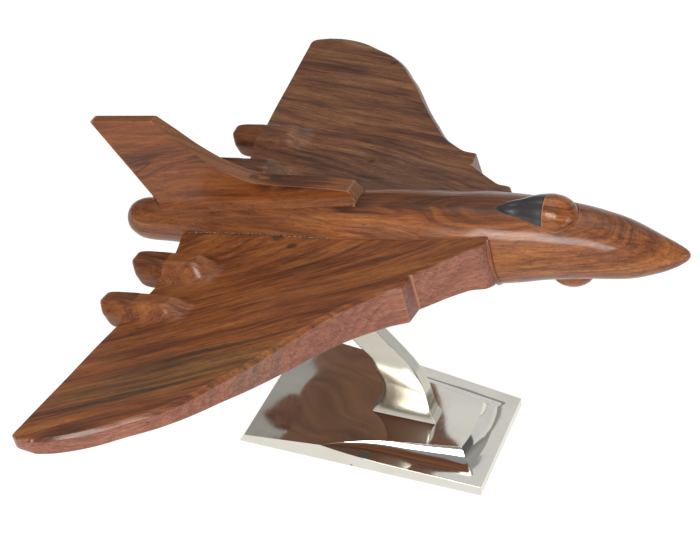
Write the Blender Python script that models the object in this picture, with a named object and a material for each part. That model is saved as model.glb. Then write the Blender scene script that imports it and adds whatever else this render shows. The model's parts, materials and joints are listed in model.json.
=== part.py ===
"""Carved-wood delta-wing jet aircraft model that swivels on a polished cast-aluminium desk stand.

Row frame, in metres: the origin is the centre of the stand's underside, +X points to the nose, +Y to the left wing
tip and +Z up. Everything below is written in millimetres and scaled by MM. The aircraft is drawn in its own frame:
u forward from the tail end, y to the left, w up. One empty on the swivel axis carries it.
"""
import math

import bmesh
import bpy
from mathutils import Matrix, Vector

MM = 0.001

# Stand: a wedge-shaped casting, wider at the rear, with scooped bevels at the sides and the front.
BASE_HALF_LENGTH = 101.5
BASE_HALF_WIDTH_REAR = 68.7
BASE_HALF_WIDTH_FRONT = 55.2
BASE_UNDERSIDE_Z = 0.5
PLATEAU_REAR_X = -98.0
PLATEAU_REAR_HALF_WIDTH = 67.4
PLATEAU_REAR_Z = 7.1
PLATEAU_SLOPE = 0.0725
BEVEL_START_X = -34.0
PLATEAU_EDGE = [(-34.0, 60.0), (-22.0, 53.2), (-9.1, 47.8), (2.9, 43.4), (17.0, 39.6), (34.7, 36.2), (55.0, 32.2),
                (75.7, 28.0)]
RIM_FRONT = (100.9, 54.6, 8.6)
RIM_INSET, RIM_WIDENING = 0.6, 1.6
PLATEAU_FRONT_BULGE = 2.8
BEVEL_STEPS = 6
SCOOP_POWER = 1.9
FELT_THICKNESS = 2.0
FELT_INSET = 4.0
FELT_RECESS_TOP_Z = 2.3

# Arm: stations from the foot to the head, each with its front edge, its rear edge and its half thickness.
ARM_STATIONS = [
    ((47.7, 17.96), (-8.5, 13.89), 8.6),
    ((43.6, 22.5), (-4.9, 18.6), 7.9),
    ((40.6, 30.0), (-1.6, 25.6), 7.1),
    ((38.7, 37.4), (0.0, 32.8), 6.6),
    ((36.6, 45.0), (0.6, 40.2), 6.25),
    ((33.6, 52.6), (-1.5, 48.0), 6.1),
    ((28.4, 61.4), (-4.5, 53.6), 6.05),
    ((21.6, 70.0), (-6.6, 57.6), 6.05),
    ((8.4, 83.1), (-9.3, 65.4), 6.05),
    ((-7.0, 97.7), (-24.6, 80.8), 6.05),
    ((-63.1, 153.8), (-91.7, 148.1), 6.05),
]
ARM_BOLT_X = (6.0, 33.0)
BOLT_R, BOLT_HEAD_R, BOLT_HEAD_H = 3.0, 5.0, 4.0
BOLT_TOP_Z = 31.0
COUNTERBORE_R, COUNTERBORE_TOP_Z = 6.2, 8.3
WASHER_R, WASHER_H = 5.7, 1.0

# Swivel: a stud in the arm's head turns in a brass insert in the fuselage, on a leather washer.
PITCH_DEG = 11.38
TAIL_X, TAIL_Z = -225.3, 148.0
PIVOT_U, PIVOT_W = 144.0, -23.8
HEAD_R, HEAD_H = 12.0, 5.0
SWIVEL_WASHER_H = 2.0
SEAT_W = -21.2
SEAT_R = 13.5
STUD_R, STUD_BELOW, STUD_ABOVE = 4.0, 18.0, 17.0
INSERT_R, INSERT_BORE_R, INSERT_H = 6.5, 4.09, 18.0

GAP = 0.3

# Fuselage sections: distance from the tail end, radius, height of the centre.
FUSELAGE = [
    (3.2, 4.0, 1.2), (4.6, 8.0, 1.0), (7.4, 11.6, 0.7), (11.6, 14.3, 0.4), (17.0, 16.3, 0.1), (26.0, 17.3, 0.1),
    (50.0, 18.3, 0.5), (75.0, 19.9, 0.8), (100.0, 21.9, 1.0), (125.0, 23.8, 1.3), (150.0, 26.0, 1.7),
    (180.0, 28.9, 2.3), (207.0, 31.0, 2.8), (237.0, 32.2, 3.3), (277.0, 33.3, 3.8), (305.0, 33.9, 4.2),
    (321.5, 33.6, 4.6), (338.0, 32.2, 5.4), (355.0, 30.2, 6.1), (372.0, 28.4, 5.9), (389.0, 26.0, 5.3),
    (402.0, 24.1, 4.0), (414.0, 21.8, 2.5), (425.0, 18.9, 1.0), (435.0, 15.5, 0.0), (443.0, 12.2, -0.5),
    (450.0, 8.9, -0.5), (455.5, 5.8, -0.3), (459.0, 3.2, 0.0), (460.2, 1.2, 0.1),
]
FUSELAGE_SIDES = 36

# Wing top surface: a plane w = W0 + WU * u + WY * y that rises towards the fuselage. The panels are set slightly
# askew: the right one's tip is further forward by WING_SKEW per millimetre of span, and the left one's further aft.
# The left front edge is also pared back by LEFT_TRIM around one place on the span.
# Stations from the root to the tip: y, front edge u, chamfer leg, edge height below it, rear edge u and height.
WING_W0, WING_WU, WING_WY = -14.5, 0.1005, 0.0742
ROOT_RISE, ROOT_RISE_FALL, ROOT_RISE_Y0, ROOT_RISE_Y1 = 10.4, 0.0165, 24.0, 80.0
WING_SKEW = 0.009
LEFT_TRIM, LEFT_TRIM_Y, LEFT_TRIM_SPAN = 3.4, 202.0, 72.0
WING_STATIONS = [
    (5.0, 321.0, 0.5, 37.5, 62.0, 12.0), (24.0, 321.0, 0.5, 37.5, 62.4, 12.0), (33.0, 320.5, 0.5, 36.0, 63.6, 11.0),
    (39.5, 317.0, 0.5, 33.6, 64.4, 10.4), (43.5, 307.5, 0.5, 31.8, 64.8, 10.0), (50.0, 299.6, 0.5, 30.4, 65.4, 9.6),
    (57.0, 292.0, 0.5, 29.4, 66.3, 9.3), (72.0, 276.2, 0.5, 28.4, 67.8, 9.0), (87.6, 274.4, 1.0, 28.4, 69.2, 8.8),
    (91.5, 264.0, 1.4, 27.4, 69.0, 8.7), (100.0, 252.5, 1.8, 26.0, 68.4, 8.6), (111.0, 240.5, 2.2, 24.4, 67.4, 8.5),
    (133.0, 224.8, 2.4, 21.6, 65.2, 8.3), (139.0, 220.6, 2.6, 21.0, 64.6, 8.3), (155.5, 211.0, 2.8, 19.4, 63.0, 8.3),
    (175.0, 200.0, 3.0, 17.0, 61.2, 8.4), (189.0, 191.6, 3.0, 15.3, 60.4, 8.5), (202.0, 182.2, 2.9, 13.8, 59.6, 8.6),
    (223.5, 166.4, 2.8, 11.6, 58.2, 8.8), (239.5, 149.4, 2.8, 10.4, 57.2, 9.0), (251.0, 131.8, 2.8, 9.9, 56.5, 9.1),
    (262.0, 114.5, 2.8, 9.8, 55.8, 9.2), (269.0, 99.0, 2.7, 9.8, 55.2, 9.3), (273.0, 86.0, 2.5, 9.8, 55.6, 9.4),
    (275.2, 74.0, 2.2, 9.7, 59.0, 9.5),
]
TIP_POINT = (275.8, 66.5)

# Nacelle axes as y and w, and their sections: u, half width, half height, height of the centre above the axis.
NACELLE_AXES = {"inner": (66.9, 1.6), "outer": (118.5, 2.3)}
NACELLE_UNDERCUT, NACELLE_UNDERCUT_END = 0.38, 80.0
NACELLE = [
    (47.6, 7.6, 5.6, 1.6), (48.8, 10.6, 8.2, 1.2), (51.4, 12.8, 10.0, 0.7), (56.0, 14.0, 10.8, 0.3),
    (64.0, 14.4, 11.0, 0.2), (74.0, 14.4, 10.9, 0.3), (86.0, 14.0, 10.2, 0.5), (96.0, 13.0, 8.8, 0.8),
    (105.0, 11.2, 6.8, 1.2), (112.5, 8.6, 4.8, 1.4), (118.0, 5.6, 3.0, 1.4), (122.0, 2.8, 1.5, 1.4),
]
NACELLE_SIDES = 28

# Fin and its forward spine: outline (u, w) with half thickness, and the base line below the fuselage skin.
FIN_TOP = [
    (-4.5, 92.8, 4.9), (50.9, 95.2, 4.9), (65.2, 83.4, 5.3), (79.7, 70.6, 5.9), (90.4, 62.8, 6.3), (98.8, 57.4, 6.6),
    (111.8, 51.0, 7.1), (119.5, 48.0, 7.4), (128.0, 46.0, 7.7), (140.0, 45.0, 7.9), (184.5, 44.8, 7.9),
    (207.5, 43.4, 7.9), (212.2, 36.5, 7.9),
]
FIN_BASE = [(214.5, 20.0, 7.9), (150.0, 16.0, 7.9), (90.0, 12.0, 7.7), (45.0, 9.0, 7.4), (38.9, 20.1, 7.2),
            (34.5, 27.7, 6.9)]

# Canopy teardrop sections: u, y, radius, height of the centre; the dark rear piece ends where the dome starts.
CANOPY_REAR = [(319.0, -9.0, 1.2, 34.6), (325.0, -7.4, 4.0, 33.4), (332.0, -5.8, 7.2, 32.2), (340.0, -4.4, 10.2, 31.2),
               (348.0, -3.4, 12.8, 30.4), (355.0, -2.9, 14.7, 29.8), (359.7, -2.8, 15.5, 29.4)]
CANOPY_DOME = [(360.0, -2.8, 15.5, 29.4), (364.0, -2.8, 16.0, 29.0), (369.0, -2.8, 15.8, 28.4),
               (374.0, -2.8, 14.3, 28.0), (378.5, -2.8, 11.4, 27.6), (381.5, -2.8, 7.9, 27.3),
               (383.0, -2.8, 4.0, 27.2)]
BLISTER_CENTRE = (372.5, -20.8)
BLISTER_HALF = (16.5, 11.5, 12.5)
CANOPY_SIDES = 28

# Dowels: radius, and where they lie in the aircraft frame.
WING_DOWELS = [("front", 230.0, 0.0, 4.0, 15.0, 62.0), ("rear", 118.0, -3.0, 3.5, 10.5, 49.5)]
FIN_DOWELS = [("rear", 75.0, 3.5, 4.0, 44.0), ("front", 172.0, 3.5, 10.0, 39.5)]
HOLE_EASE = 0.25

WOOD = (0.24, 0.095, 0.045)
COLOURS = {
    "fuselage_wood": (WOOD, 0.35, 0.0),
    "wing_wood": ((0.20, 0.085, 0.04), 0.35, 0.0),
    "fin_wood": ((0.22, 0.08, 0.04), 0.35, 0.0),
    "stained_wood": ((0.012, 0.010, 0.010), 0.25, 0.0),
    "dowel_wood": ((0.60, 0.44, 0.26), 0.6, 0.0),
    "polished_aluminium": ((0.80, 0.79, 0.76), 0.08, 1.0),
    "steel": ((0.55, 0.56, 0.58), 0.3, 1.0),
    "brass": ((0.72, 0.52, 0.20), 0.3, 1.0),
    "leather": ((0.10, 0.06, 0.04), 0.7, 0.0),
    "felt": ((0.02, 0.08, 0.05), 0.95, 0.0),
}
MATERIALS = {}


def material(slot):
    """The Principled material of a slot, made once."""
    if slot not in MATERIALS:
        colour, roughness, metallic = COLOURS[slot]
        made = bpy.data.materials.new(slot)
        made.use_nodes = True
        shader = made.node_tree.nodes["Principled BSDF"]
        shader.inputs["Base Color"].default_value = (*colour, 1.0)
        shader.inputs["Roughness"].default_value = roughness
        shader.inputs["Metallic"].default_value = metallic
        MATERIALS[slot] = made
    return MATERIALS[slot]


def clear_scene():
    for obj in list(bpy.data.objects):
        bpy.data.objects.remove(obj, do_unlink=True)


def add_object(name, bm, slot=None, parent=None):
    """Turn a bmesh in millimetres into an object; with no slot it is a cutter."""
    bmesh.ops.remove_doubles(bm, verts=bm.verts, dist=0.005)
    bmesh.ops.recalc_face_normals(bm, faces=bm.faces)
    bmesh.ops.scale(bm, vec=(MM, MM, MM), verts=bm.verts)
    mesh = bpy.data.meshes.new(name)
    bm.to_mesh(mesh)
    bm.free()
    obj = bpy.data.objects.new(name, mesh)
    bpy.context.scene.collection.objects.link(obj)
    if slot:
        mesh.materials.append(material(slot))
    else:
        obj.hide_render = True
        obj.display_type = "WIRE"
    obj.parent = parent
    return obj


def boolean(target, tool, operation="DIFFERENCE"):
    mod = target.modifiers.new(f"{operation.lower()}_{tool.name}", "BOOLEAN")
    mod.object = tool
    mod.operation = operation
    mod.solver = "EXACT"


def strip_rings(bm, rings, closed_ring=True):
    """Quads between successive rings of equal length, and flat caps on the first and the last."""
    made = [[bm.verts.new(p) for p in ring] for ring in rings]
    count = len(made[0])
    for a, b in zip(made, made[1:]):
        for i in range(count if closed_ring else count - 1):
            j = (i + 1) % count
            bm.faces.new((a[i], a[j], b[j], b[i]))
    bm.faces.new(made[0])
    bm.faces.new(list(reversed(made[-1])))


def oval_ring(u, y, w, half_width, half_height, sides, power=1.0):
    """A closed section across the u axis; a power under 1 squares it."""
    ring = []
    for i in range(sides):
        a = 2 * math.pi * i / sides
        c, s = math.cos(a), math.sin(a)
        ring.append((u, y + half_width * math.copysign(abs(c) ** power, c),
                     w + half_height * math.copysign(abs(s) ** power, s)))
    return ring


def cylinder(bm, start, end, radius, sides=24):
    """A closed cylinder between two points."""
    start, end = Vector(start), Vector(end)
    turn = (end - start).to_track_quat("Z", "Y").to_matrix().to_4x4()
    where = Matrix.Translation((start + end) / 2) @ turn
    bmesh.ops.create_cone(bm, cap_ends=True, segments=sides, radius1=radius, radius2=radius,
                          depth=(end - start).length, matrix=where)


def cylinder_object(name, start, end, radius, slot=None, parent=None, sides=24):
    bm = bmesh.new()
    cylinder(bm, start, end, radius, sides)
    return add_object(name, bm, slot, parent)


def tube_object(name, start, end, radius, bore, slot, parent=None, sides=32):
    """A closed tube along Z of the parent's frame, from start to end."""
    bm = bmesh.new()
    rings = []
    for r, z in ((bore, start[2]), (radius, start[2]), (radius, end[2]), (bore, end[2])):
        rings.append([bm.verts.new((start[0] + r * math.cos(2 * math.pi * i / sides),
                                    start[1] + r * math.sin(2 * math.pi * i / sides), z)) for i in range(sides)])
    for k in range(4):
        a, b = rings[k], rings[(k + 1) % 4]
        for i in range(sides):
            j = (i + 1) % sides
            bm.faces.new((a[i], a[j], b[j], b[i]))
    return add_object(name, bm, slot, parent)


# ---------------------------------------------------------------- stand


def plateau_z(x):
    return PLATEAU_REAR_Z + PLATEAU_SLOPE * (x - PLATEAU_REAR_X)


def base_half_width(x):
    """Half width of the casting's underside at x."""
    t = (x + BASE_HALF_LENGTH) / (2 * BASE_HALF_LENGTH)
    return BASE_HALF_WIDTH_REAR + (BASE_HALF_WIDTH_FRONT - BASE_HALF_WIDTH_REAR) * t


def rim_point(x):
    """Top of the side rim at x: it widens to the underside's width and falls to the front corner."""
    t = (x - BEVEL_START_X) / (RIM_FRONT[0] - BEVEL_START_X)
    start_y, start_z = PLATEAU_EDGE[0][1], plateau_z(BEVEL_START_X)
    full = base_half_width(x) - RIM_INSET
    return (x, start_y + (full - start_y) * min(1.0, t * RIM_WIDENING), start_z + (RIM_FRONT[2] - start_z) * t)


def scoop(inner, outer):
    """Points from the plateau's edge down to the rim along a concave curve."""
    points = []
    for k in range(BEVEL_STEPS + 1):
        s = k / BEVEL_STEPS
        points.append((inner[0] + (outer[0] - inner[0]) * s, inner[1] + (outer[1] - inner[1]) * s,
                       outer[2] + (inner[2] - outer[2]) * (1 - s) ** SCOOP_POWER))
    return points


def patch(bm, rows):
    """Quads over a grid of points; rows may meet in a point."""
    made = [[bm.verts.new(p) for p in row] for row in rows]
    for a, b in zip(made, made[1:]):
        for i in range(len(a) - 1):
            bm.faces.new((a[i], a[i + 1], b[i + 1], b[i]))


def build_base():
    bm = bmesh.new()
    count = len(PLATEAU_EDGE)
    rear_top = (PLATEAU_REAR_X, PLATEAU_REAR_HALF_WIDTH, PLATEAU_REAR_Z)
    inner = [(x, y, plateau_z(x)) for x, y in PLATEAU_EDGE]
    outer = [rim_point(BEVEL_START_X + (RIM_FRONT[0] - BEVEL_START_X) * k / (count - 1)) for k in range(count)]
    outer[0] = inner[0]
    foot = [(BASE_HALF_LENGTH if k == count - 1 else p[0], base_half_width(p[0]), BASE_UNDERSIDE_Z)
            for k, p in enumerate(outer)]
    foot_rear = (-BASE_HALF_LENGTH, BASE_HALF_WIDTH_REAR, BASE_UNDERSIDE_Z)

    def side(point, s):
        return (point[0], point[1] * s, point[2])

    for s in (-1, 1):
        patch(bm, [[side(p, s) for p in scoop(inner[k], outer[k])] for k in range(count)])
        patch(bm, [[side(outer[k], s), side(foot[k], s)] for k in range(count)])
        patch(bm, [[side(rear_top, s), side(foot_rear, s)], [side(outer[0], s), side(foot[0], s)]])
    front_in, front_out, front_foot = [], [], []
    steps = 8
    for k in range(steps + 1):
        v = -1 + 2 * k / steps
        x = inner[-1][0] + PLATEAU_FRONT_BULGE * (1 - v * v)
        front_in.append((x, inner[-1][1] * v, plateau_z(x)))
        front_out.append((RIM_FRONT[0], outer[-1][1] * v, RIM_FRONT[2]))
        front_foot.append((BASE_HALF_LENGTH, foot[-1][1] * v, BASE_UNDERSIDE_Z))
    patch(bm, [scoop(a, b) for a, b in zip(front_in, front_out)])
    patch(bm, [[a, b] for a, b in zip(front_out, front_foot)])
    patch(bm, [[side(rear_top, -1), side(foot_rear, -1)], [rear_top, foot_rear]])
    bmesh.ops.remove_doubles(bm, verts=bm.verts, dist=0.005)
    plateau = [side(rear_top, -1)] + [side(p, -1) for p in inner] + front_in[1:-1]
    plateau += [p for p in reversed(inner)] + [rear_top]
    underside = [side(foot_rear, -1)] + [side(p, -1) for p in foot] + front_foot[1:-1]
    underside += [p for p in reversed(foot)] + [foot_rear]
    for loop in (plateau, underside):
        bm.faces.new([bm.verts.new(p) for p in loop])
    bmesh.ops.remove_doubles(bm, verts=bm.verts, dist=0.005)
    bmesh.ops.dissolve_degenerate(bm, edges=bm.edges, dist=0.004)
    return add_object("base_casting", bm, "polished_aluminium")


def inset_outline(inset):
    """The underside's outline, moved in by an even margin."""
    rear, front = -BASE_HALF_LENGTH + inset, BASE_HALF_LENGTH - inset
    return [(rear, -(base_half_width(rear) - inset)), (front, -(base_half_width(front) - inset)),
            (front, base_half_width(front) - inset), (rear, base_half_width(rear) - inset)]


def plate(name, outline, low, high, slot=None):
    bm = bmesh.new()
    strip_rings(bm, [[(x, y, z) for x, y in outline] for z in (low, high)])
    return add_object(name, bm, slot)


def build_bolt(name, x):
    """A socket-head bolt standing head down: the head has a hexagonal socket."""
    head_low = COUNTERBORE_TOP_Z - GAP - WASHER_H - GAP - BOLT_HEAD_H
    bm = bmesh.new()
    sides, socket_r, socket_depth = 24, 2.6, 2.4
    profile = [(socket_r, head_low + socket_depth), (socket_r, head_low), (BOLT_HEAD_R - 0.4, head_low),
               (BOLT_HEAD_R, head_low + 0.4), (BOLT_HEAD_R, head_low + BOLT_HEAD_H),
               (BOLT_R, head_low + BOLT_HEAD_H), (BOLT_R, BOLT_TOP_Z - 0.8), (BOLT_R - 0.8, BOLT_TOP_Z)]
    rings = []
    for k, (r, z) in enumerate(profile):
        ring = []
        for i in range(sides):
            a = 2 * math.pi * i / sides
            radius = r
            if k < 2:
                flat = (a + math.pi / 6) % (math.pi / 3) - math.pi / 6
                radius = r * math.cos(math.pi / 6) / math.cos(flat)
            ring.append((x + radius * math.cos(a), radius * math.sin(a), z))
        rings.append(ring)
    strip_rings(bm, rings)
    return add_object(name, bm, "steel")


def build_arm():
    bm = bmesh.new()
    rings = []
    for front, rear, half in ARM_STATIONS:
        rings.append([(front[0], -half, front[1]), (front[0], half, front[1]), (rear[0], half, rear[1]),
                      (rear[0], -half, rear[1])])
    strip_rings(bm, rings)
    return add_object("pylon_arm", bm, "polished_aluminium")


# ------------------------------------------------------------- aircraft


def local(u, y, w):
    """From the aircraft frame to the swivel empty's frame."""
    return (u - PIVOT_U, y, w - PIVOT_W)


def local_ring(ring):
    return [local(*p) for p in ring]


def fuselage_mesh(grow=0.0):
    bm = bmesh.new()
    rings = [local_ring(oval_ring(u, 0.0, w, r + grow, r + grow, FUSELAGE_SIDES)) for u, r, w in FUSELAGE]
    if grow:
        first, last = FUSELAGE[0], FUSELAGE[-1]
        rings.insert(0, local_ring(oval_ring(first[0] - grow, 0, first[2], first[1], first[1], FUSELAGE_SIDES)))
        rings.append(local_ring(oval_ring(last[0] + grow, 0, last[2], last[1], last[1], FUSELAGE_SIDES)))
    strip_rings(bm, rings)
    return bm


def wing_normal(side):
    return Vector((-WING_WU, -WING_WY * side, 1.0)).normalized()


def wing_top(u, y):
    near_root = max(0.0, min(1.0, (ROOT_RISE_Y1 - y) / (ROOT_RISE_Y1 - ROOT_RISE_Y0)))
    return WING_W0 + WING_WU * u + WING_WY * y + (ROOT_RISE - ROOT_RISE_FALL * u) * near_root ** 2


def edge_points(u, y, out, leg, height, side):
    """Top, chamfer and bottom points of the wing's edge at a plan point; out is the outward direction in plan."""
    top = Vector((u, side * y, wing_top(u, y)))
    middle = Vector((u + out[0] * leg, side * (y + out[1] * leg), wing_top(u, y) - leg))
    return [top, middle, middle - wing_normal(side) * height]


def build_wing(name, side, parent):
    """Spanwise stations, each a closed section from the rear edge over the top to the front edge and back below."""
    bm = bmesh.new()
    plan = [(u, y) for y, u, *_ in WING_STATIONS] + [(TIP_POINT[1], TIP_POINT[0])]
    rings = []
    for k, (y, front, leg, height, rear, rear_height) in enumerate(WING_STATIONS):
        askew = -side * WING_SKEW * y
        before = plan[max(k - 1, 0)]
        after = plan[k + 1]
        along = Vector((after[0] - before[0], after[1] - before[1])).normalized()
        out = (along.y, -along.x) if along.y > 0 else (1.0, 0.0)
        if side > 0:
            front -= LEFT_TRIM * max(0.0, 1.0 - ((y - LEFT_TRIM_Y) / LEFT_TRIM_SPAN) ** 2)
        top, middle, bottom = edge_points(front, y, out, leg, height, side)
        rear_top = Vector((rear, side * y, wing_top(rear, y)))
        rear_bottom = rear_top - wing_normal(side) * rear_height
        rings.append([local(p[0] + askew, p[1], p[2]) for p in (rear_top, top, middle, bottom, rear_bottom)])
    strip_rings(bm, rings)
    return add_object(name, bm, "wing_wood", parent)


def nacelle_mesh(side, y, w, grow=0.0):
    bm = bmesh.new()
    rings = []
    for u, half_width, half_height, rise in NACELLE:
        centre = w + rise
        ring = oval_ring(u, side * y, centre, half_width + grow, half_height + grow, NACELLE_SIDES, 0.88)
        lean = NACELLE_UNDERCUT * max(0.0, (NACELLE_UNDERCUT_END - u) / (NACELLE_UNDERCUT_END - NACELLE[0][0]))
        rings.append(local_ring([(p[0] + lean * (centre - p[2]), p[1], p[2]) for p in ring]))
    if grow:
        rings.insert(0, [(p[0] - grow, p[1], p[2]) for p in rings[0]])
        rings.append([(p[0] + grow, p[1], p[2]) for p in rings[-1]])
    strip_rings(bm, rings)
    return bm


def build_fin(parent):
    bm = bmesh.new()
    outline = FIN_TOP + FIN_BASE
    left = [bm.verts.new(local(u, t, w)) for u, w, t in outline]
    right = [bm.verts.new(local(u, -t, w)) for u, w, t in outline]
    count = len(outline)
    for i in range(count):
        j = (i + 1) % count
        bm.faces.new((left[i], left[j], right[j], right[i]))
    caps = [bm.faces.new(left), bm.faces.new(list(reversed(right)))]
    bmesh.ops.triangulate(bm, faces=caps)
    return add_object("tail_fin", bm, "fin_wood", parent)


def build_canopy(name, sections, slot, parent):
    bm = bmesh.new()
    strip_rings(bm, [local_ring(oval_ring(u, y, w, r, r, CANOPY_SIDES)) for u, y, r, w in sections])
    return add_object(name, bm, slot, parent)


def build_blister(parent):
    bm = bmesh.new()
    bmesh.ops.create_uvsphere(bm, u_segments=24, v_segments=14, radius=1.0,
                              matrix=Matrix.Rotation(math.pi / 2, 4, "Y"))
    u, w = BLISTER_CENTRE
    for vert in bm.verts:
        vert.co = Vector(local(u + vert.co.x * BLISTER_HALF[0], vert.co.y * BLISTER_HALF[1],
                               w + vert.co.z * BLISTER_HALF[2]))
    return add_object("nose_blister", bm, "fuselage_wood", parent)


def build_stand(swivel):
    base = build_base()
    recess = plate("cut_felt_recess", inset_outline(FELT_INSET - GAP), BASE_UNDERSIDE_Z - 2.0, FELT_RECESS_TOP_Z)
    plate("base_felt", inset_outline(FELT_INSET), 0.0, FELT_THICKNESS, "felt")
    arm = build_arm()
    boolean(base, recess)
    for label, x in zip(("rear", "front"), ARM_BOLT_X):
        pocket = cylinder_object(f"cut_pocket_{label}", (x, 0, 0.5), (x, 0, COUNTERBORE_TOP_Z), COUNTERBORE_R)
        through = cylinder_object(f"cut_through_{label}", (x, 0, 5.0), (x, 0, 25.0), BOLT_R + GAP)
        tapped = cylinder_object(f"cut_tapped_{label}", (x, 0, 5.0), (x, 0, BOLT_TOP_Z + 1.5), BOLT_R + HOLE_EASE)
        boolean(base, pocket)
        boolean(base, through)
        boolean(arm, tapped)
        build_bolt(f"arm_bolt_{label}", x)
        low = COUNTERBORE_TOP_Z - GAP - WASHER_H
        tube_object(f"arm_washer_{label}", (x, 0, low), (x, 0, low + WASHER_H), WASHER_R, BOLT_R + GAP, "steel")
    head = cylinder_object("add_arm_head", (0, 0, -HEAD_H), (0, 0, 0), HEAD_R, None, swivel, 40)
    boolean(arm, head, "UNION")
    hole = cylinder_object("cut_stud_hole", (0, 0, -STUD_BELOW - 1.0), (0, 0, 5.0), STUD_R + HOLE_EASE, None, swivel,
                           32)
    boolean(arm, hole)
    cylinder_object("pivot_stud", (0, 0, -STUD_BELOW), (0, 0, STUD_ABOVE), STUD_R, "steel", swivel, 32)
    tube_object("swivel_washer", (0, 0, GAP), (0, 0, GAP + SWIVEL_WASHER_H), HEAD_R - 0.5, STUD_R + 0.4, "leather",
                swivel)


def build_aircraft(swivel):
    skin = add_object("cut_fuselage_skin", fuselage_mesh(GAP), None, swivel)
    fuselage = add_object("fuselage", fuselage_mesh(), "fuselage_wood", swivel)
    seat_height = SEAT_W - PIVOT_W
    boolean(fuselage, cylinder_object("cut_seat", (0, 0, -30.0), (0, 0, seat_height), SEAT_R, None, swivel, 40))
    boolean(fuselage, cylinder_object("cut_insert", (0, 0, -2.0), (0, 0, seat_height + INSERT_H + 1.2),
                                      INSERT_R + HOLE_EASE, None, swivel, 32))
    tube_object("pivot_insert", (0, 0, seat_height), (0, 0, seat_height + INSERT_H), INSERT_R, INSERT_BORE_R, "brass",
                swivel)
    for side, word in ((1, "left"), (-1, "right")):
        wing = build_wing(f"{word}_wing", side, swivel)
        boolean(wing, skin)
        for place, (y, w) in NACELLE_AXES.items():
            name = f"{word}_{place}_nacelle"
            add_object(name, nacelle_mesh(side, y, w), "wing_wood", swivel)
            boolean(wing, add_object(f"cut_{name}", nacelle_mesh(side, y, w, GAP), None, swivel))
        for place, u, w, radius, y0, y1 in WING_DOWELS:
            name = f"{word}_wing_dowel_{place}"
            cylinder_object(name, local(u, side * y0, w), local(u, side * y1, w), radius, "dowel_wood", swivel, 20)
            hole = cylinder_object(f"cut_{name}", local(u, side * (y0 - 1), w), local(u, side * (y1 + 1), w),
                                   radius + HOLE_EASE, None, swivel, 20)
            boolean(wing, hole)
            boolean(fuselage, hole)
    fin = build_fin(swivel)
    boolean(fin, skin)
    for place, u, radius, w0, w1 in FIN_DOWELS:
        name = f"fin_dowel_{place}"
        cylinder_object(name, local(u, 0, w0), local(u, 0, w1), radius, "dowel_wood", swivel, 20)
        hole = cylinder_object(f"cut_{name}", local(u, 0, w0 - 1), local(u, 0, w1 + 1), radius + HOLE_EASE, None,
                               swivel, 20)
        boolean(fin, hole)
        boolean(fuselage, hole)
    boolean(build_canopy("canopy_rear", CANOPY_REAR, "stained_wood", swivel), skin)
    boolean(build_canopy("canopy_dome", CANOPY_DOME, "fuselage_wood", swivel), skin)
    boolean(build_blister(swivel), skin)


def main():
    clear_scene()
    pitch = math.radians(PITCH_DEG)
    swivel = bpy.data.objects.new("swivel_axis", None)
    swivel.location = Vector((TAIL_X + PIVOT_U * math.cos(pitch) - PIVOT_W * math.sin(pitch), 0.0,
                              TAIL_Z + PIVOT_U * math.sin(pitch) + PIVOT_W * math.cos(pitch))) * MM
    swivel.rotation_euler = (0.0, -pitch, 0.0)
    bpy.context.scene.collection.objects.link(swivel)
    build_stand(swivel)
    build_aircraft(swivel)


main()
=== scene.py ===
"""Looks for the carved-wood delta-wing aircraft model on its polished, wedge-shaped desk stand.

Lengths are in millimetres and scaled by MM. The aircraft's pieces are built in the aircraft's own frame:
u forward from the tail end, y to the left, w up along the swivel axis. The stand's are in the row frame.
"""

import json
import math

import bmesh
import bpy
import numpy as np
from mathutils import Matrix, Vector


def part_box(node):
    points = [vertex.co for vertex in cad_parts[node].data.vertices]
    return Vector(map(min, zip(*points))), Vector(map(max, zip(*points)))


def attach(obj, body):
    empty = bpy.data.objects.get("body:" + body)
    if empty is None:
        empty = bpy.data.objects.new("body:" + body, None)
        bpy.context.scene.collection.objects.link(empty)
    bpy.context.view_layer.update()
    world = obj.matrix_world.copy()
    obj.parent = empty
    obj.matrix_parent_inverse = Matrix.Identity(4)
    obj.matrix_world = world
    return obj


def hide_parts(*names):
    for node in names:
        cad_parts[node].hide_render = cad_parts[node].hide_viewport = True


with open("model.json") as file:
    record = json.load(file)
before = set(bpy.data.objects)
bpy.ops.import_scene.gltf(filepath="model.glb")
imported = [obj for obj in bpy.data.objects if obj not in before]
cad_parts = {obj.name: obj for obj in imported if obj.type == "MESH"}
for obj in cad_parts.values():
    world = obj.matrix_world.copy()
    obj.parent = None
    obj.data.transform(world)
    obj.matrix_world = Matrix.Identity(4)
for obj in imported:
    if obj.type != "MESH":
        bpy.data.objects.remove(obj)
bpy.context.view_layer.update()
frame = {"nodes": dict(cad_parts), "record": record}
MM = 0.001

# ---- frames

SWIVEL = frame["record"]["behaviour"]["joints"][0]
PIVOT_U, PIVOT_W = 144.0, -23.8
W_AXIS = Vector(SWIVEL["axis"]).normalized()
U_AXIS = Vector((W_AXIS.z, 0.0, -W_AXIS.x))
TAIL_POINT = Vector(SWIVEL["pos_m"]) - U_AXIS * PIVOT_U * MM - W_AXIS * PIVOT_W * MM
AIRCRAFT = Matrix.Translation(TAIL_POINT) @ Matrix((U_AXIS, (0.0, 1.0, 0.0), W_AXIS)).transposed().to_4x4()
ROW = Matrix.Identity(4)

# ---- shape helpers


def clamp(t):
    return max(0.0, min(1.0, t))


def ease(t):
    t = clamp(t)
    return t * t * (3 - 2 * t)


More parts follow.
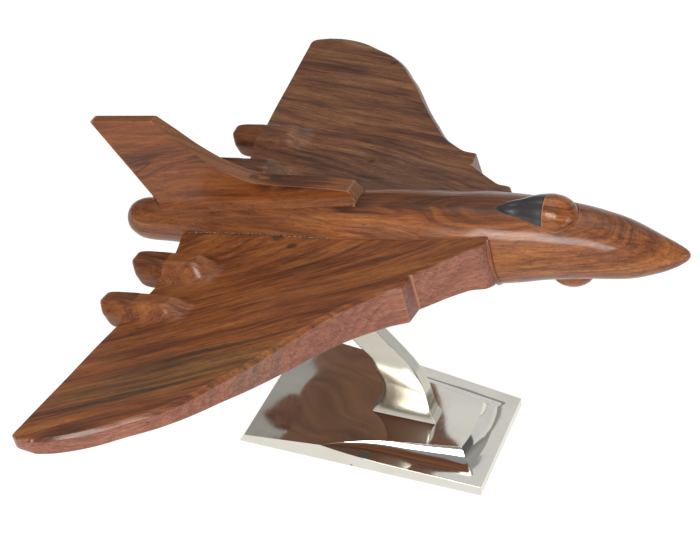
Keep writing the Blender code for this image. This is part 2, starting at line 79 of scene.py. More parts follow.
def smooth_curve(knots):
    """A smooth curve without overshoot through rows of (position, value, ...), as a function of position."""
    table = np.array(knots, float)
    x, y = table[:, 0], table[:, 1:]
    step = np.diff(x)
    slope = np.diff(y, axis=0) / step[:, None]
    tangent = np.zeros_like(y)
    tangent[0], tangent[-1] = slope[0], slope[-1]
    for i in range(1, len(x) - 1):
        a, b = slope[i - 1], slope[i]
        same_way = a * b > 0
        tangent[i] = np.where(same_way, 2 * a * b / np.where(same_way, a + b, 1.0), 0.0)

    def at(position):
        i = int(np.clip(np.searchsorted(x, position) - 1, 0, len(step) - 1))
        s = (position - x[i]) / step[i]
        return ((2 * s**3 - 3 * s**2 + 1) * y[i] + (s**3 - 2 * s**2 + s) * step[i] * tangent[i]
                + (3 * s**2 - 2 * s**3) * y[i + 1] + (s**3 - s**2) * step[i] * tangent[i + 1])

    return at


def along_path(rows, spacing, columns=2):
    """Rows of numbers resampled at an even spacing along the path that their first columns make."""
    table = np.array(rows, float)
    run = np.concatenate([[0], np.cumsum(np.linalg.norm(np.diff(table[:, :columns], axis=0), axis=1))])
    curve = smooth_curve(np.column_stack([run, table]))
    count = max(2, int(round(run[-1] / spacing)) + 1)
    return [curve(s) for s in np.linspace(0, run[-1], count)]


def make_object(name, points, faces, slot, body, place, sharp_deg=40.0):
    """An object on its body, from points in millimetres in the frame of its place."""
    mesh = bpy.data.meshes.new(name)
    mesh.from_pydata([tuple(float(c) * MM for c in p) for p in points], [], faces)
    bm = bmesh.new()
    bm.from_mesh(mesh)
    bmesh.ops.remove_doubles(bm, verts=bm.verts, dist=1e-6)
    bmesh.ops.dissolve_degenerate(bm, edges=bm.edges, dist=1e-6)
    bmesh.ops.recalc_face_normals(bm, faces=bm.faces)
    bm.to_mesh(mesh)
    bm.free()
    mesh.transform(place)
    mesh.shade_smooth()
    mesh.set_sharp_from_angle(angle=math.radians(sharp_deg))
    obj = bpy.data.objects.new(name, mesh)
    bpy.context.scene.collection.objects.link(obj)
    if slot:
        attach(obj, body)
    return obj


def loft(name, rings, slot, body, place=AIRCRAFT, sharp_deg=40.0):
    """Quads between closed rings of equal length; the ends close in a fan to their middle."""
    count = len(rings[0])
    points = [tuple(p) for ring in rings for p in ring]
    faces = []
    for k in range(len(rings) - 1):
        for i in range(count):
            j = (i + 1) % count
            faces.append((k * count + i, k * count + j, (k + 1) * count + j, (k + 1) * count + i))
    for k in (0, len(rings) - 1):
        middle = len(points)
        points.append(tuple(np.mean(np.array(rings[k], float), axis=0)))
        for i in range(count):
            faces.append((k * count + i, k * count + (i + 1) % count, middle))
    return make_object(name, points, faces, slot, body, place, sharp_deg)


def round_corners(corners, widths, spans):
    """A closed section with each corner rounded over its width and each side cut into its number of spans."""
    count = len(corners)
    corners = [np.array(c, float) for c in corners]
    section = []
    for i in range(count):
        here, before, after = corners[i], corners[i - 1], corners[(i + 1) % count]
        back = (before - here) / np.linalg.norm(before - here)
        on = (after - here) / np.linalg.norm(after - here)
        width = min(widths[i], 0.45 * np.linalg.norm(before - here), 0.45 * np.linalg.norm(after - here))
        for t in (0.0, 0.25, 0.5, 0.75, 1.0):
            section.append(here + back * width * (1 - t) ** 2 + on * width * t ** 2)
        start = here + on * width
        end = after - on * min(widths[(i + 1) % count], 0.45 * np.linalg.norm(after - here))
        for s in range(1, spans[i]):
            section.append(start + (end - start) * s / spans[i])
    return section


def turned(name, profile, slot, body, place, sides=64, sharp_deg=40.0):
    """A closed turned piece about the z axis of its place, from (radius, height) points."""
    points, faces = [], []
    count = len(profile)
    for i in range(sides):
        a = 2 * math.pi * i / sides
        points += [(r * math.cos(a), r * math.sin(a), z) for r, z in profile]
    for i in range(sides):
        j = (i + 1) % sides
        for k in range(count):
            m = (k + 1) % count
            faces.append((i * count + k, j * count + k, j * count + m, i * count + m))
    return make_object(name, points, faces, slot, body, place, sharp_deg)


def bead(name, path, radius, slot, body, place=AIRCRAFT, closed=False, taper=None, sides=10):
    """A thin raised bead swept along a path; a closed one laps over its own start."""
    path = [Vector(p) for p in path]
    if closed:
        path += path[:2]
    rings = []
    aside = None
    for i, p in enumerate(path):
        along = (path[min(i + 1, len(path) - 1)] - path[max(i - 1, 0)]).normalized()
        aside = aside or along.orthogonal()
        aside = (aside - along * aside.dot(along)).normalized()
        other = along.cross(aside)
        r = radius * (taper(i / (len(path) - 1)) if taper else 1.0)
        turns = [2 * math.pi * k / sides for k in range(sides)]
        rings.append([p + (aside * math.cos(a) + other * math.sin(a)) * r for a in turns])
    return loft(name, rings, slot, body, place)


def cut_away(obj, cutter):
    """Subtract the cutter for good, and remove it."""
    mod = obj.modifiers.new("cut", "BOOLEAN")
    mod.object = cutter
    mod.operation = "DIFFERENCE"
    mod.solver = "EXACT"
    bpy.context.view_layer.update()
    graph = bpy.context.evaluated_depsgraph_get()
    mesh = bpy.data.meshes.new_from_object(obj.evaluated_get(graph), preserve_all_data_layers=True,
                                           depsgraph=graph)
    obj.modifiers.clear()
    obj.data = mesh
    bpy.data.objects.remove(cutter, do_unlink=True)


# ---- fuselage

# A true section of the fuselage has more points than a hole's rim, and its centre is never this low.
FEWEST_POINTS, LOWEST_CENTRE = 30, -3.0


def cad_rings(node):
    """The fuselage's sections as (u, radius, height of the centre), measured on its CAD solid."""
    inverse = AIRCRAFT.inverted()
    table = {}
    for vert in frame["nodes"][node].data.vertices:
        p = inverse @ vert.co
        table.setdefault(round(p.x / MM, 1), []).append((p.y / MM, p.z / MM))
    rings = []
    for u, found in sorted(table.items()):
        radius = max(abs(y) for y, _ in found)
        centre = max(w for _, w in found) - radius
        if len(found) > FEWEST_POINTS and centre > LOWEST_CENTRE:
            rings.append((u, radius, centre))
    return rings


FUSELAGE_RINGS = cad_rings("fuselage")
FUSELAGE_CURVE = smooth_curve(FUSELAGE_RINGS)
FUSELAGE_SIDES = 96
SEAT_W, SEAT_R, SEAT_CUT_FROM = -21.2, 13.5, -60.0


def carved(u, angle):
    """How far hand carving leaves the skin from true, in millimetres."""
    return (0.22 * math.sin(u / 13.0 + 1.7 * math.sin(2 * angle)) + 0.18 * math.sin(3 * angle + u / 37.0)
            + 0.12 * math.sin(u / 5.7 + 4 * angle))


def build_fuselage():
    rings = []
    for u, radius, centre in along_path(FUSELAGE_RINGS, 2.4):
        ring = []
        for i in range(FUSELAGE_SIDES):
            a = 2 * math.pi * i / FUSELAGE_SIDES
            r = radius + carved(u, a) * min(1.0, radius / 16.0)
            ring.append((u, r * math.cos(a), centre + r * math.sin(a)))
        rings.append(ring)
    body = loft("fuselage_body", rings, "fuselage_wood", "aircraft")
    outline = [(0.0, SEAT_CUT_FROM), (SEAT_R, SEAT_CUT_FROM), (SEAT_R, SEAT_W), (0.0, SEAT_W)]
    seat = turned("seat_cutter", outline, None, None, AIRCRAFT @ Matrix.Translation((PIVOT_U * MM, 0, 0)))
    cut_away(body, seat)
    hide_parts("fuselage")
    return body


# ---- wings

WING_W0, WING_WU, WING_WY = -14.5, 0.1005, 0.0742
ROOT_RISE, ROOT_RISE_FALL, ROOT_RISE_Y0, ROOT_RISE_Y1 = 10.4, 0.0165, 24.0, 80.0
WING_SKEW = 0.009
LEFT_TRIM, LEFT_TRIM_Y, LEFT_TRIM_SPAN = 3.4, 202.0, 72.0
# Runs of stations between the front edge's corners:
# y, front edge u, chamfer leg, edge height, rear edge u and rear edge height.
WING_RUNS = [
    [(5.0, 321.0, 0.5, 37.5, 62.0, 12.0), (24.0, 321.0, 0.5, 37.5, 62.4, 12.0),
     (33.0, 320.5, 0.6, 36.0, 63.6, 11.0)],
    [(33.0, 320.5, 0.6, 36.0, 63.6, 11.0), (39.5, 317.0, 0.7, 33.6, 64.4, 10.4),
     (43.5, 307.5, 0.7, 31.8, 64.8, 10.0), (50.0, 299.6, 0.7, 30.4, 65.4, 9.6),
     (57.0, 292.0, 0.7, 29.4, 66.3, 9.3), (72.0, 276.2, 0.7, 28.4, 67.8, 9.0)],
    [(72.0, 276.2, 0.7, 28.4, 67.8, 9.0), (87.6, 274.4, 1.0, 28.4, 69.2, 8.8)],
    [(87.6, 274.4, 1.0, 28.4, 69.2, 8.8), (91.5, 264.0, 1.6, 27.4, 69.0, 8.7),
     (100.0, 252.5, 2.0, 26.0, 68.4, 8.6), (111.0, 240.5, 2.4, 24.4, 67.4, 8.5),
     (133.0, 224.8, 2.7, 21.6, 65.2, 8.3), (155.5, 211.0, 3.0, 19.4, 63.0, 8.3),
     (189.0, 191.6, 3.1, 15.3, 60.4, 8.5), (202.0, 182.2, 3.1, 13.8, 59.6, 8.6),
     (223.5, 166.4, 3.0, 11.6, 58.2, 8.8), (239.5, 149.4, 3.0, 10.4, 57.2, 9.0),
     (251.0, 131.8, 3.0, 9.9, 56.5, 9.1), (262.0, 114.5, 3.0, 9.8, 55.8, 9.2),
     (269.0, 99.0, 2.8, 9.8, 55.2, 9.3), (273.0, 86.0, 2.6, 9.8, 55.6, 9.4),
     (275.2, 74.0, 2.2, 9.7, 59.0, 9.5)],
]
STATION_SPACING = 1.6
TOP_SPANS, UNDER_SPANS, SIDE_SPANS = 104, 14, 10
ARRIS_SHARE, REAR_LOW_ROUND, REAR_TOP_ROUND, FRONT_LOW_ROUND = 0.28, 0.8, 0.6, 1.0
# The tip closes in steps: how far out, and how much of the last section is left.
TIP_CLOSING = [(0.5, 0.93), (0.9, 0.8), (1.1, 0.55)]
# Each nacelle is a ridge on the wing's top: the height of its crest, the half widths of its top and its foot,
# and where its front falls away into the wing.
NACELLE_AXES = {"inner": (66.9, 1.6), "outer": (118.5, 2.3)}
CREST_W, CREST_RISE, CREST_U = 13.3, 0.022, 50.0
SHOULDER, FOOT = 5.0, 17.0
FRONT_START, FRONT_END = 98.0, 120.0


def crest(u):
    return CREST_W + CREST_RISE * (u - CREST_U)


def ridge(u, y):
    """How far the nacelles' ridges raise the wing's top."""
    front = 1.0 - ease((u - FRONT_START) / (FRONT_END - FRONT_START))
    if front <= 0.0:
        return 0.0
    lift = 0.0
    for axis_y, _ in NACELLE_AXES.values():
        across = ease((FOOT - abs(y - axis_y)) / (FOOT - SHOULDER))
        lift = max(lift, (crest(u) - wing_top(u, axis_y)) * across * front)
    return lift


def wing_top(u, y):
    near_root = clamp((ROOT_RISE_Y1 - y) / (ROOT_RISE_Y1 - ROOT_RISE_Y0))
    hand = 0.16 * math.sin(u / 17.0 + y / 29.0) + 0.12 * math.sin(u / 41.0 - y / 13.0)
    return WING_W0 + WING_WU * u + WING_WY * y + (ROOT_RISE - ROOT_RISE_FALL * u) * near_root ** 2 + hand


def wing_section(station, outward, side):
    """A closed rounded section: rear bottom, rear top, front top, chamfer foot, front bottom."""
    y, front, leg, height, rear, rear_height = station
    down = Vector((-WING_WU, -WING_WY, 1.0)).normalized() * -1.0
    if side > 0:
        front = front - LEFT_TRIM * max(0.0, 1.0 - ((y - LEFT_TRIM_Y) / LEFT_TRIM_SPAN) ** 2)
    front_top = Vector((front, y, wing_top(front, y)))
    chamfer = front_top + Vector((outward[0] * leg, outward[1] * leg, -leg))
    front_low = chamfer + down * height
    rear_top = Vector((rear, y, wing_top(rear, y)))
    rear_low = rear_top + down * rear_height
    arris = ARRIS_SHARE * leg
    section = round_corners([rear_low, rear_top, front_top, chamfer, front_low],
                            [REAR_LOW_ROUND, REAR_TOP_ROUND, arris, arris, FRONT_LOW_ROUND],
                            [6, TOP_SPANS, 2, SIDE_SPANS, UNDER_SPANS])
    made = []
    for p in section:
        on_top = clamp(1.0 + (p[2] - wing_top(p[0], y)) / rear_height)
        made.append((p[0] - side * WING_SKEW * y, side * p[1], p[2] + ridge(p[0], y) * on_top))
    return made


def build_wing(name, side):
    rings = []
    for run in WING_RUNS:
        rows = along_path(run, STATION_SPACING)
        for k, row in enumerate(rows):
            before, after = rows[max(k - 1, 0)], rows[min(k + 1, len(rows) - 1)]
            along = Vector((after[1] - before[1], after[0] - before[0])).normalized()
            outward = (along.y, -along.x) if along.y > 0 else (1.0, 0.0)
            rings.append(wing_section(row, outward, side))
    tip = np.array(rings[-1], float)
    middle = tip.mean(axis=0)
    for out, shrink in TIP_CLOSING:
        closing = middle + (tip - middle) * shrink
        closing[:, 1] += side * out
        rings.append([tuple(p) for p in closing])
    wing = loft(name + "_plank", rings, "wing_wood", "aircraft", sharp_deg=50.0)
    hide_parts(name)
    return wing


# ---- nacelles

NACELLE_UNDERCUT, NACELLE_UNDERCUT_END = 0.38, 80.0
NACELLE_REAR_U, STUB_HALF, STUB_BELOW = 47.4, 13.0, 10.2
WING_REAR_U = 66.0
# How full the nacelle's section is along it: its rear end closes in, its front hides in the wing.
STUB_FILL = [(47.4, 0.42), (47.6, 0.66), (48.6, 0.81), (50.8, 0.91), (54.5, 0.97), (60.0, 1.0),
             (84.0, 1.0), (86.0, 0.9), (87.0, 0.5)]
# It stands this proud of the ridge behind the wing's rear edge, and sinks into the wing further forward.
STUB_PROUD, STUB_SUNK, STUB_SIDE_DROP = 0.35, -0.7, 0.4
STUB_SINK_FROM, STUB_SINK_OVER = 69.0, 15.0
STUB_KEEL_SHRINK, STUB_KEEL_OVER = 0.6, 14.0
STUB_TOP_POINTS, STUB_TOP_INSET, STUB_TOP_EASE, STUB_KEEL_ROUND = 33, 0.5, 0.4, 3.4


def stub_section(u, y, w):
    """A section of the nacelle as (y, w): the ridge's own top, upright sides and a rounded underside."""
    rear = max(u, WING_REAR_U)
    rise = crest(u) - wing_top(rear, y)
    low = w - STUB_BELOW * (1.0 - STUB_KEEL_SHRINK * ease((u - WING_REAR_U) / STUB_KEEL_OVER))
    proud = STUB_PROUD + (STUB_SUNK - STUB_PROUD) * ease((u - STUB_SINK_FROM) / STUB_SINK_OVER)

    def top_at(d):
        lift = proud - STUB_SIDE_DROP * (d / STUB_HALF) ** 2
        return wing_top(rear, y + d) + rise * ease((FOOT - abs(d)) / (FOOT - SHOULDER)) + lift

    edge = STUB_HALF - STUB_TOP_INSET
    top = [(y + d, top_at(d)) for d in np.linspace(-edge, edge, STUB_TOP_POINTS)]
    shoulder = top_at(STUB_HALF) - STUB_TOP_EASE
    left, right = y + STUB_HALF, y - STUB_HALF
    corners = [(left, shoulder), (left, low), (right, low), (right, shoulder)]
    rounds = [0.3, STUB_KEEL_ROUND, STUB_KEEL_ROUND, 0.3]
    # The last side would run back over the top, so its points are left off.
    return top + [tuple(p) for p in round_corners(corners, rounds, [8, 10, 8, 2])][:-7]


def build_nacelle(word, side, place, y, w):
    rings = []
    for u, fill in along_path(STUB_FILL, 1.0, columns=1):
        section = np.array(stub_section(u, y, w), float)
        middle = (section.max(axis=0) + section.min(axis=0)) / 2
        section = middle + (section - middle) * fill
        rearward = (NACELLE_UNDERCUT_END - u) / (NACELLE_UNDERCUT_END - NACELLE_REAR_U)
        lean = NACELLE_UNDERCUT * max(0.0, rearward)
        hand = 0.15 * math.sin(u / 5.0 + y)
        rings.append([(u + lean * (middle[1] - b), side * a + hand, b) for a, b in section])
    node = f"{word}_{place}_nacelle"
    nacelle = loft(f"{node}_fairing", rings, "wing_wood", "aircraft", sharp_deg=50.0)
    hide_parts(node)
    return nacelle


# ---- fin

# The top outline from the rear to the front, as (u, w, half thickness), then the two ends of the foot line.
FIN_TOP = [
    [(-4.5, 92.8, 4.9), (50.9, 95.2, 4.9)],
    [(50.9, 95.2, 4.9), (65.2, 83.4, 5.3), (79.7, 70.6, 5.9), (90.4, 62.8, 6.3), (98.8, 57.4, 6.6),
     (111.8, 51.0, 7.1), (119.5, 48.0, 7.4), (128.0, 46.0, 7.7), (140.0, 45.0, 7.9), (184.5, 44.8, 7.9),
     (207.5, 43.4, 7.9)],
    [(207.5, 43.4, 7.9), (212.2, 36.5, 7.9)],
]
FIN_FOOT_REAR, FIN_FOOT_FRONT = (45.0, 9.0, 7.4), (214.5, 20.0, 7.9)
FILLET_REACH, FILLET_SPREAD = 7.0, 3.4


def spread_foot(point):
    """The fin's side drawn out where it comes down to the fuselage, as a carved fillet."""
    u, y, w = point
    radius, centre = FUSELAGE_CURVE(max(0.0, u))
    skin = centre + math.sqrt(max(0.0, radius**2 - y * y))
    near = clamp(1.0 - (w - skin) / FILLET_REACH)
    return (u, y + math.copysign(FILLET_SPREAD * near**2, y), w)


def build_fin():
    tops = []
    for run in FIN_TOP:
        tops += along_path(run, 2.0)
    rings = []
    for k, (u, w, half) in enumerate(tops):
        s = k / (len(tops) - 1)
        foot = [a + (b - a) * s for a, b in zip(FIN_FOOT_REAR, FIN_FOOT_FRONT)]
        corners = [(foot[0], -foot[2], foot[1]), (u, -half, w), (u, half, w), (foot[0], foot[2], foot[1])]
        section = round_corners(corners, [0.3, 0.9, 0.9, 0.3], [30, 5, 30, 5])
        rings.append([spread_foot(p) for p in section])
    fin = loft("tail_fin_plank", rings, "fin_wood", "aircraft", sharp_deg=28.0)
    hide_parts("tail_fin")
    return fin


# ---- canopy and blister

# Round sections of the canopy's two pieces: u, radius, y and w of the centre.
CANOPY_REAR = [(322.4, 0.6, -8.6, 34.4), (323.2, 2.2, -8.4, 34.2), (327.6, 5.3, -7.0, 33.2),
               (333.4, 8.2, -5.6, 32.1), (340.6, 10.2, -4.4, 31.2), (348.0, 12.8, -3.4, 30.4),
               (355.0, 14.7, -2.9, 29.8), (359.7, 15.5, -2.8, 29.4)]
CANOPY_DOME = [(360.0, 15.5, -2.8, 29.4), (364.0, 16.0, -2.8, 29.0), (369.0, 15.8, -2.8, 28.4),
               (374.0, 14.3, -2.8, 28.0), (378.5, 11.4, -2.8, 27.6), (381.5, 7.9, -2.8, 27.3),
               (383.0, 4.0, -2.8, 27.2), (383.3, 0.6, -2.8, 27.1)]
CANOPY_SIDES = 72
# The bead that rims the canopy, heaviest at the dome's lower front.
LIP_STAND_OFF, LIP_RADIUS, LIP_LEAST, LIP_MORE, LIP_HEAVIEST_AT, LIP_SPREAD = 1.3, 0.5, 0.5, 1.2, 0.43, 0.11
BLISTER_CENTRE = (372.5, 0.0, -20.8)
BLISTER_HALF = (16.5, 11.5, 12.5)


def canopy_outline(stand_off):
    """Where the canopy, larger by stand_off, meets the fuselage: forward on the right, back on the left."""
    right, left = [], []
    for u, r, y, w in along_path(CANOPY_REAR + CANOPY_DOME, 1.0):
        body_r, body_w = FUSELAGE_CURVE(u)
        r = r + stand_off
        gap = Vector((y, w - body_w))
        distance = gap.length
        if not abs(body_r - r) < distance < body_r + r:
            continue
        a = (body_r**2 - r**2 + distance**2) / (2 * distance)
        h = math.sqrt(max(0.0, body_r**2 - a * a))
        middle, across = gap * a / distance, Vector((-gap.y, gap.x)) / distance
        p, q = middle + across * h, middle - across * h
        low, high = sorted((p, q), key=lambda v: v.x)
        right.append((u, low.x, body_w + low.y))
        left.append((u, high.x, body_w + high.y))
    return right + left[::-1]


def build_canopy():
    made = []
    turns = [2 * math.pi * i / CANOPY_SIDES for i in range(CANOPY_SIDES)]
    for name, sections, node, slot in (("canopy_rear_shell", CANOPY_REAR, "canopy_rear", "stained_wood"),
                                       ("canopy_dome_shell", CANOPY_DOME, "canopy_dome", "fuselage_wood")):
        rows = along_path(sections, 0.9)
        rings = [[(u, y + r * math.cos(a), w + r * math.sin(a)) for a in turns] for u, r, y, w in rows]
        shell = loft(name, rings, slot, "aircraft")
        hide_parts(node)
        made.append(shell)
    lip = bead("canopy_lip", canopy_outline(LIP_STAND_OFF), LIP_RADIUS, "fuselage_wood", "aircraft",
               closed=True,
               taper=lambda t: LIP_LEAST + LIP_MORE * math.exp(-((t - LIP_HEAVIEST_AT) / LIP_SPREAD) ** 2))
    return (*made, lip)


def build_blister():
    bm = bmesh.new()
    bmesh.ops.create_icosphere(bm, subdivisions=5, radius=1.0)
    points = [(BLISTER_CENTRE[0] + v.co.x * BLISTER_HALF[0], v.co.y * BLISTER_HALF[1],
               BLISTER_CENTRE[2] + v.co.z * BLISTER_HALF[2] * (1.0 - 0.06 * v.co.x)) for v in bm.verts]
    faces = [tuple(v.index for v in f.verts) for f in bm.faces]
    bm.free()
    blister = make_object("nose_blister_bulge", points, faces, "fuselage_wood", "aircraft", AIRCRAFT)
    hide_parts("nose_blister")
    return blister


# ---- seams between wing and fuselage


def root_seam(side, u, lift=0.0, outward=0.0):
    """The point where the wing's top meets the fuselage at u."""
    radius, centre = FUSELAGE_CURVE(u)
    y = radius
    for _ in range(12):
        height = wing_top(u, y) - centre
        y = math.sqrt(max(1.0, radius**2 - min(height**2, radius**2 - 1.0)))
    return (u, side * (y + outward), wing_top(u, y) + lift)


FILLER_FROM, FILLER_TO, SEAM_TO, FILLER_STEP = 66.5, 196.0, 319.5, 0.55
SEAM_RADIUS, SEAM_OVERLAP = 0.62, 4.0
COLLAR_U, COLLAR_RADIUS, COLLAR_LIFT, COLLAR_BULGE, COLLAR_POINTS = 321.6, 1.7, 0.3, 2.2, 48
COLLAR_RING_U, COLLAR_TOP_AT, COLLAR_TOP_Y = 321.5, (320.0, 30.0), 32.0
COLLAR_PAST_TOP, COLLAR_LOW_ANGLE = 0.02, -1.15


def build_seams(side, word):
    """Crumbled filler along the joint's rear half, a carved bead along its front, a collar at the intake."""
    crumbs = [root_seam(side, u, lift=0.15 + 0.2 * math.sin(2.9 * u), outward=0.1 + 0.25 * math.sin(1.7 * u))
              for u in np.arange(FILLER_FROM, FILLER_TO, FILLER_STEP)]
    filler = bead(f"{word}_root_filler", crumbs, SEAM_RADIUS, "fuselage_wood", "aircraft",
                  taper=lambda t: 0.8 + 0.35 * math.sin(211.0 * t) * math.sin(97.0 * t))
    fillet = [root_seam(side, u, lift=0.3, outward=0.1)
              for u in np.linspace(FILLER_TO - SEAM_OVERLAP, SEAM_TO, 90)]
    line = bead(f"{word}_root_fillet", fillet, SEAM_RADIUS, "fuselage_wood", "aircraft",
                taper=lambda t: 0.5 + 0.5 * ease(t * 4))
    ring = []
    radius, centre = FUSELAGE_CURVE(COLLAR_RING_U)
    start = math.atan2(wing_top(*COLLAR_TOP_AT) - centre, COLLAR_TOP_Y) + COLLAR_PAST_TOP
    reach = radius + COLLAR_LIFT
    for k in range(COLLAR_POINTS):
        t = k / (COLLAR_POINTS - 1)
        a = start + (COLLAR_LOW_ANGLE - start) * t
        ring.append((COLLAR_U + COLLAR_BULGE * math.sin(math.pi * t), side * reach * math.cos(a),
                     centre + reach * math.sin(a)))
    collar = bead(f"{word}_root_collar", ring, COLLAR_RADIUS, "fuselage_wood", "aircraft",
                  taper=lambda t: 0.55 + 0.75 * math.sin(math.pi * min(1.0, t * 1.1 + 0.05)) ** 0.6)
    return filler, line, collar


# ---- stand

BASE_LOW, BASE_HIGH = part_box("base_casting")
BASE_HALF_LENGTH = BASE_HIGH.x / MM
BASE_HALF_WIDTH_REAR = BASE_HIGH.y / MM
BASE_HALF_WIDTH_FRONT = 55.2
BASE_UNDERSIDE_Z = BASE_LOW.z / MM
PLATEAU_REAR_X, PLATEAU_REAR_HALF_WIDTH, PLATEAU_REAR_Z = -98.0, 67.4, 7.1
PLATEAU_SLOPE = 0.0725
BEVEL_START_X = -34.0
PLATEAU_EDGE = [(-34.0, 60.0), (-22.0, 53.2), (-9.1, 47.8), (2.9, 43.4), (17.0, 39.6), (34.7, 36.2),
                (55.0, 32.2), (75.7, 28.0)]
RIM_FRONT = (100.9, 54.6, 8.6)
RIM_INSET, RIM_WIDENING = 0.6, 1.44
PLATEAU_FRONT_BULGE = 2.8
SCOOP_STEPS, EDGE_STEPS, FRONT_STEPS = 28, 44, 40
SHARPEST_PLAIN_EDGE, ARRIS_WIDTH = math.radians(24), 0.45
SCOOP_START_SLOPE, SCOOP_POWER_LEAST, SCOOP_POWER_MOST = 1.2, 2.4, 6.0
# Stations up the arm: front x and z, rear x and z. The sides flare out to the foot.
ARM_STATIONS = [
    (47.7, 17.5, -8.5, 13.4), (46.9, 18.6, -7.9, 14.6), (45.2, 20.6, -6.6, 16.6), (43.6, 22.8, -4.9, 18.8),
    (40.6, 30.0, -1.6, 25.6), (38.7, 37.4, 0.0, 32.8), (36.6, 45.0, 0.6, 40.2), (33.6, 52.6, -1.5, 48.0),
    (28.4, 61.4, -4.5, 53.6), (21.6, 70.0, -6.6, 57.6), (8.4, 83.1, -9.3, 65.4), (-7.0, 97.7, -24.6, 80.8),
    (-63.1, 153.8, -91.7, 148.1),
]
ARM_FOOT_STATIONS, ARM_FOOT_SPACING, ARM_SPACING, ARM_ARRIS = 3, 0.4, 1.4, 0.9
ARM_HALF, ARM_FLARE, ARM_FLARE_HEIGHT, ARM_LIP, ARM_LIP_HEIGHT = 6.05, 2.7, 12.0, 0.7, 1.2
# Profiles about the swivel axis, as (radius, height over the head's top).
HEAD_PROFILE = [(0.0, -5.0), (11.4, -5.0), (12.0, -4.4), (12.0, -0.6), (11.4, 0.0), (0.0, 0.0)]
WASHER_PROFILE = [(4.6, 0.5), (5.0, 0.3), (10.8, 0.3), (11.5, 0.7), (11.75, 1.3), (11.5, 1.9), (10.8, 2.3),
                  (5.0, 2.3), (4.6, 2.1)]


def arm_half(height):
    """Half the arm's thickness at a height over its foot."""
    flare = ARM_FLARE * math.exp(-height / ARM_FLARE_HEIGHT)
    return ARM_HALF + flare + ARM_LIP * math.exp(-height / ARM_LIP_HEIGHT)


def plateau_z(x):
    return PLATEAU_REAR_Z + PLATEAU_SLOPE * (x - PLATEAU_REAR_X)


def base_half_width(x):
    t = (x + BASE_HALF_LENGTH) / (2 * BASE_HALF_LENGTH)
    return BASE_HALF_WIDTH_REAR + (BASE_HALF_WIDTH_FRONT - BASE_HALF_WIDTH_REAR) * t


def rim_point(x):
    t = (x - BEVEL_START_X) / (RIM_FRONT[0] - BEVEL_START_X)
    start_y, start_z = PLATEAU_EDGE[0][1], plateau_z(BEVEL_START_X)
    full = base_half_width(x) - RIM_INSET
    widen = 1.0 - (1.0 - min(1.0, t * RIM_WIDENING)) ** 1.5
    return (x, start_y + (full - start_y) * widen, start_z + (RIM_FRONT[2] - start_z) * t)


def scoop(inner, outer):
    """A hollow that leaves the plateau at a fixed steepness and flattens out to the rim."""
    points = []
    width, drop = math.dist(inner[:2], outer[:2]), max(0.05, inner[2] - outer[2])
    power = min(SCOOP_POWER_MOST, max(SCOOP_POWER_LEAST, SCOOP_START_SLOPE * width / drop))
    for k in range(SCOOP_STEPS + 1):
        s = k / SCOOP_STEPS
        points.append((inner[0] + (outer[0] - inner[0]) * s, inner[1] + (outer[1] - inner[1]) * s,
                       outer[2] + (inner[2] - outer[2]) * (1 - s) ** power))
    return points


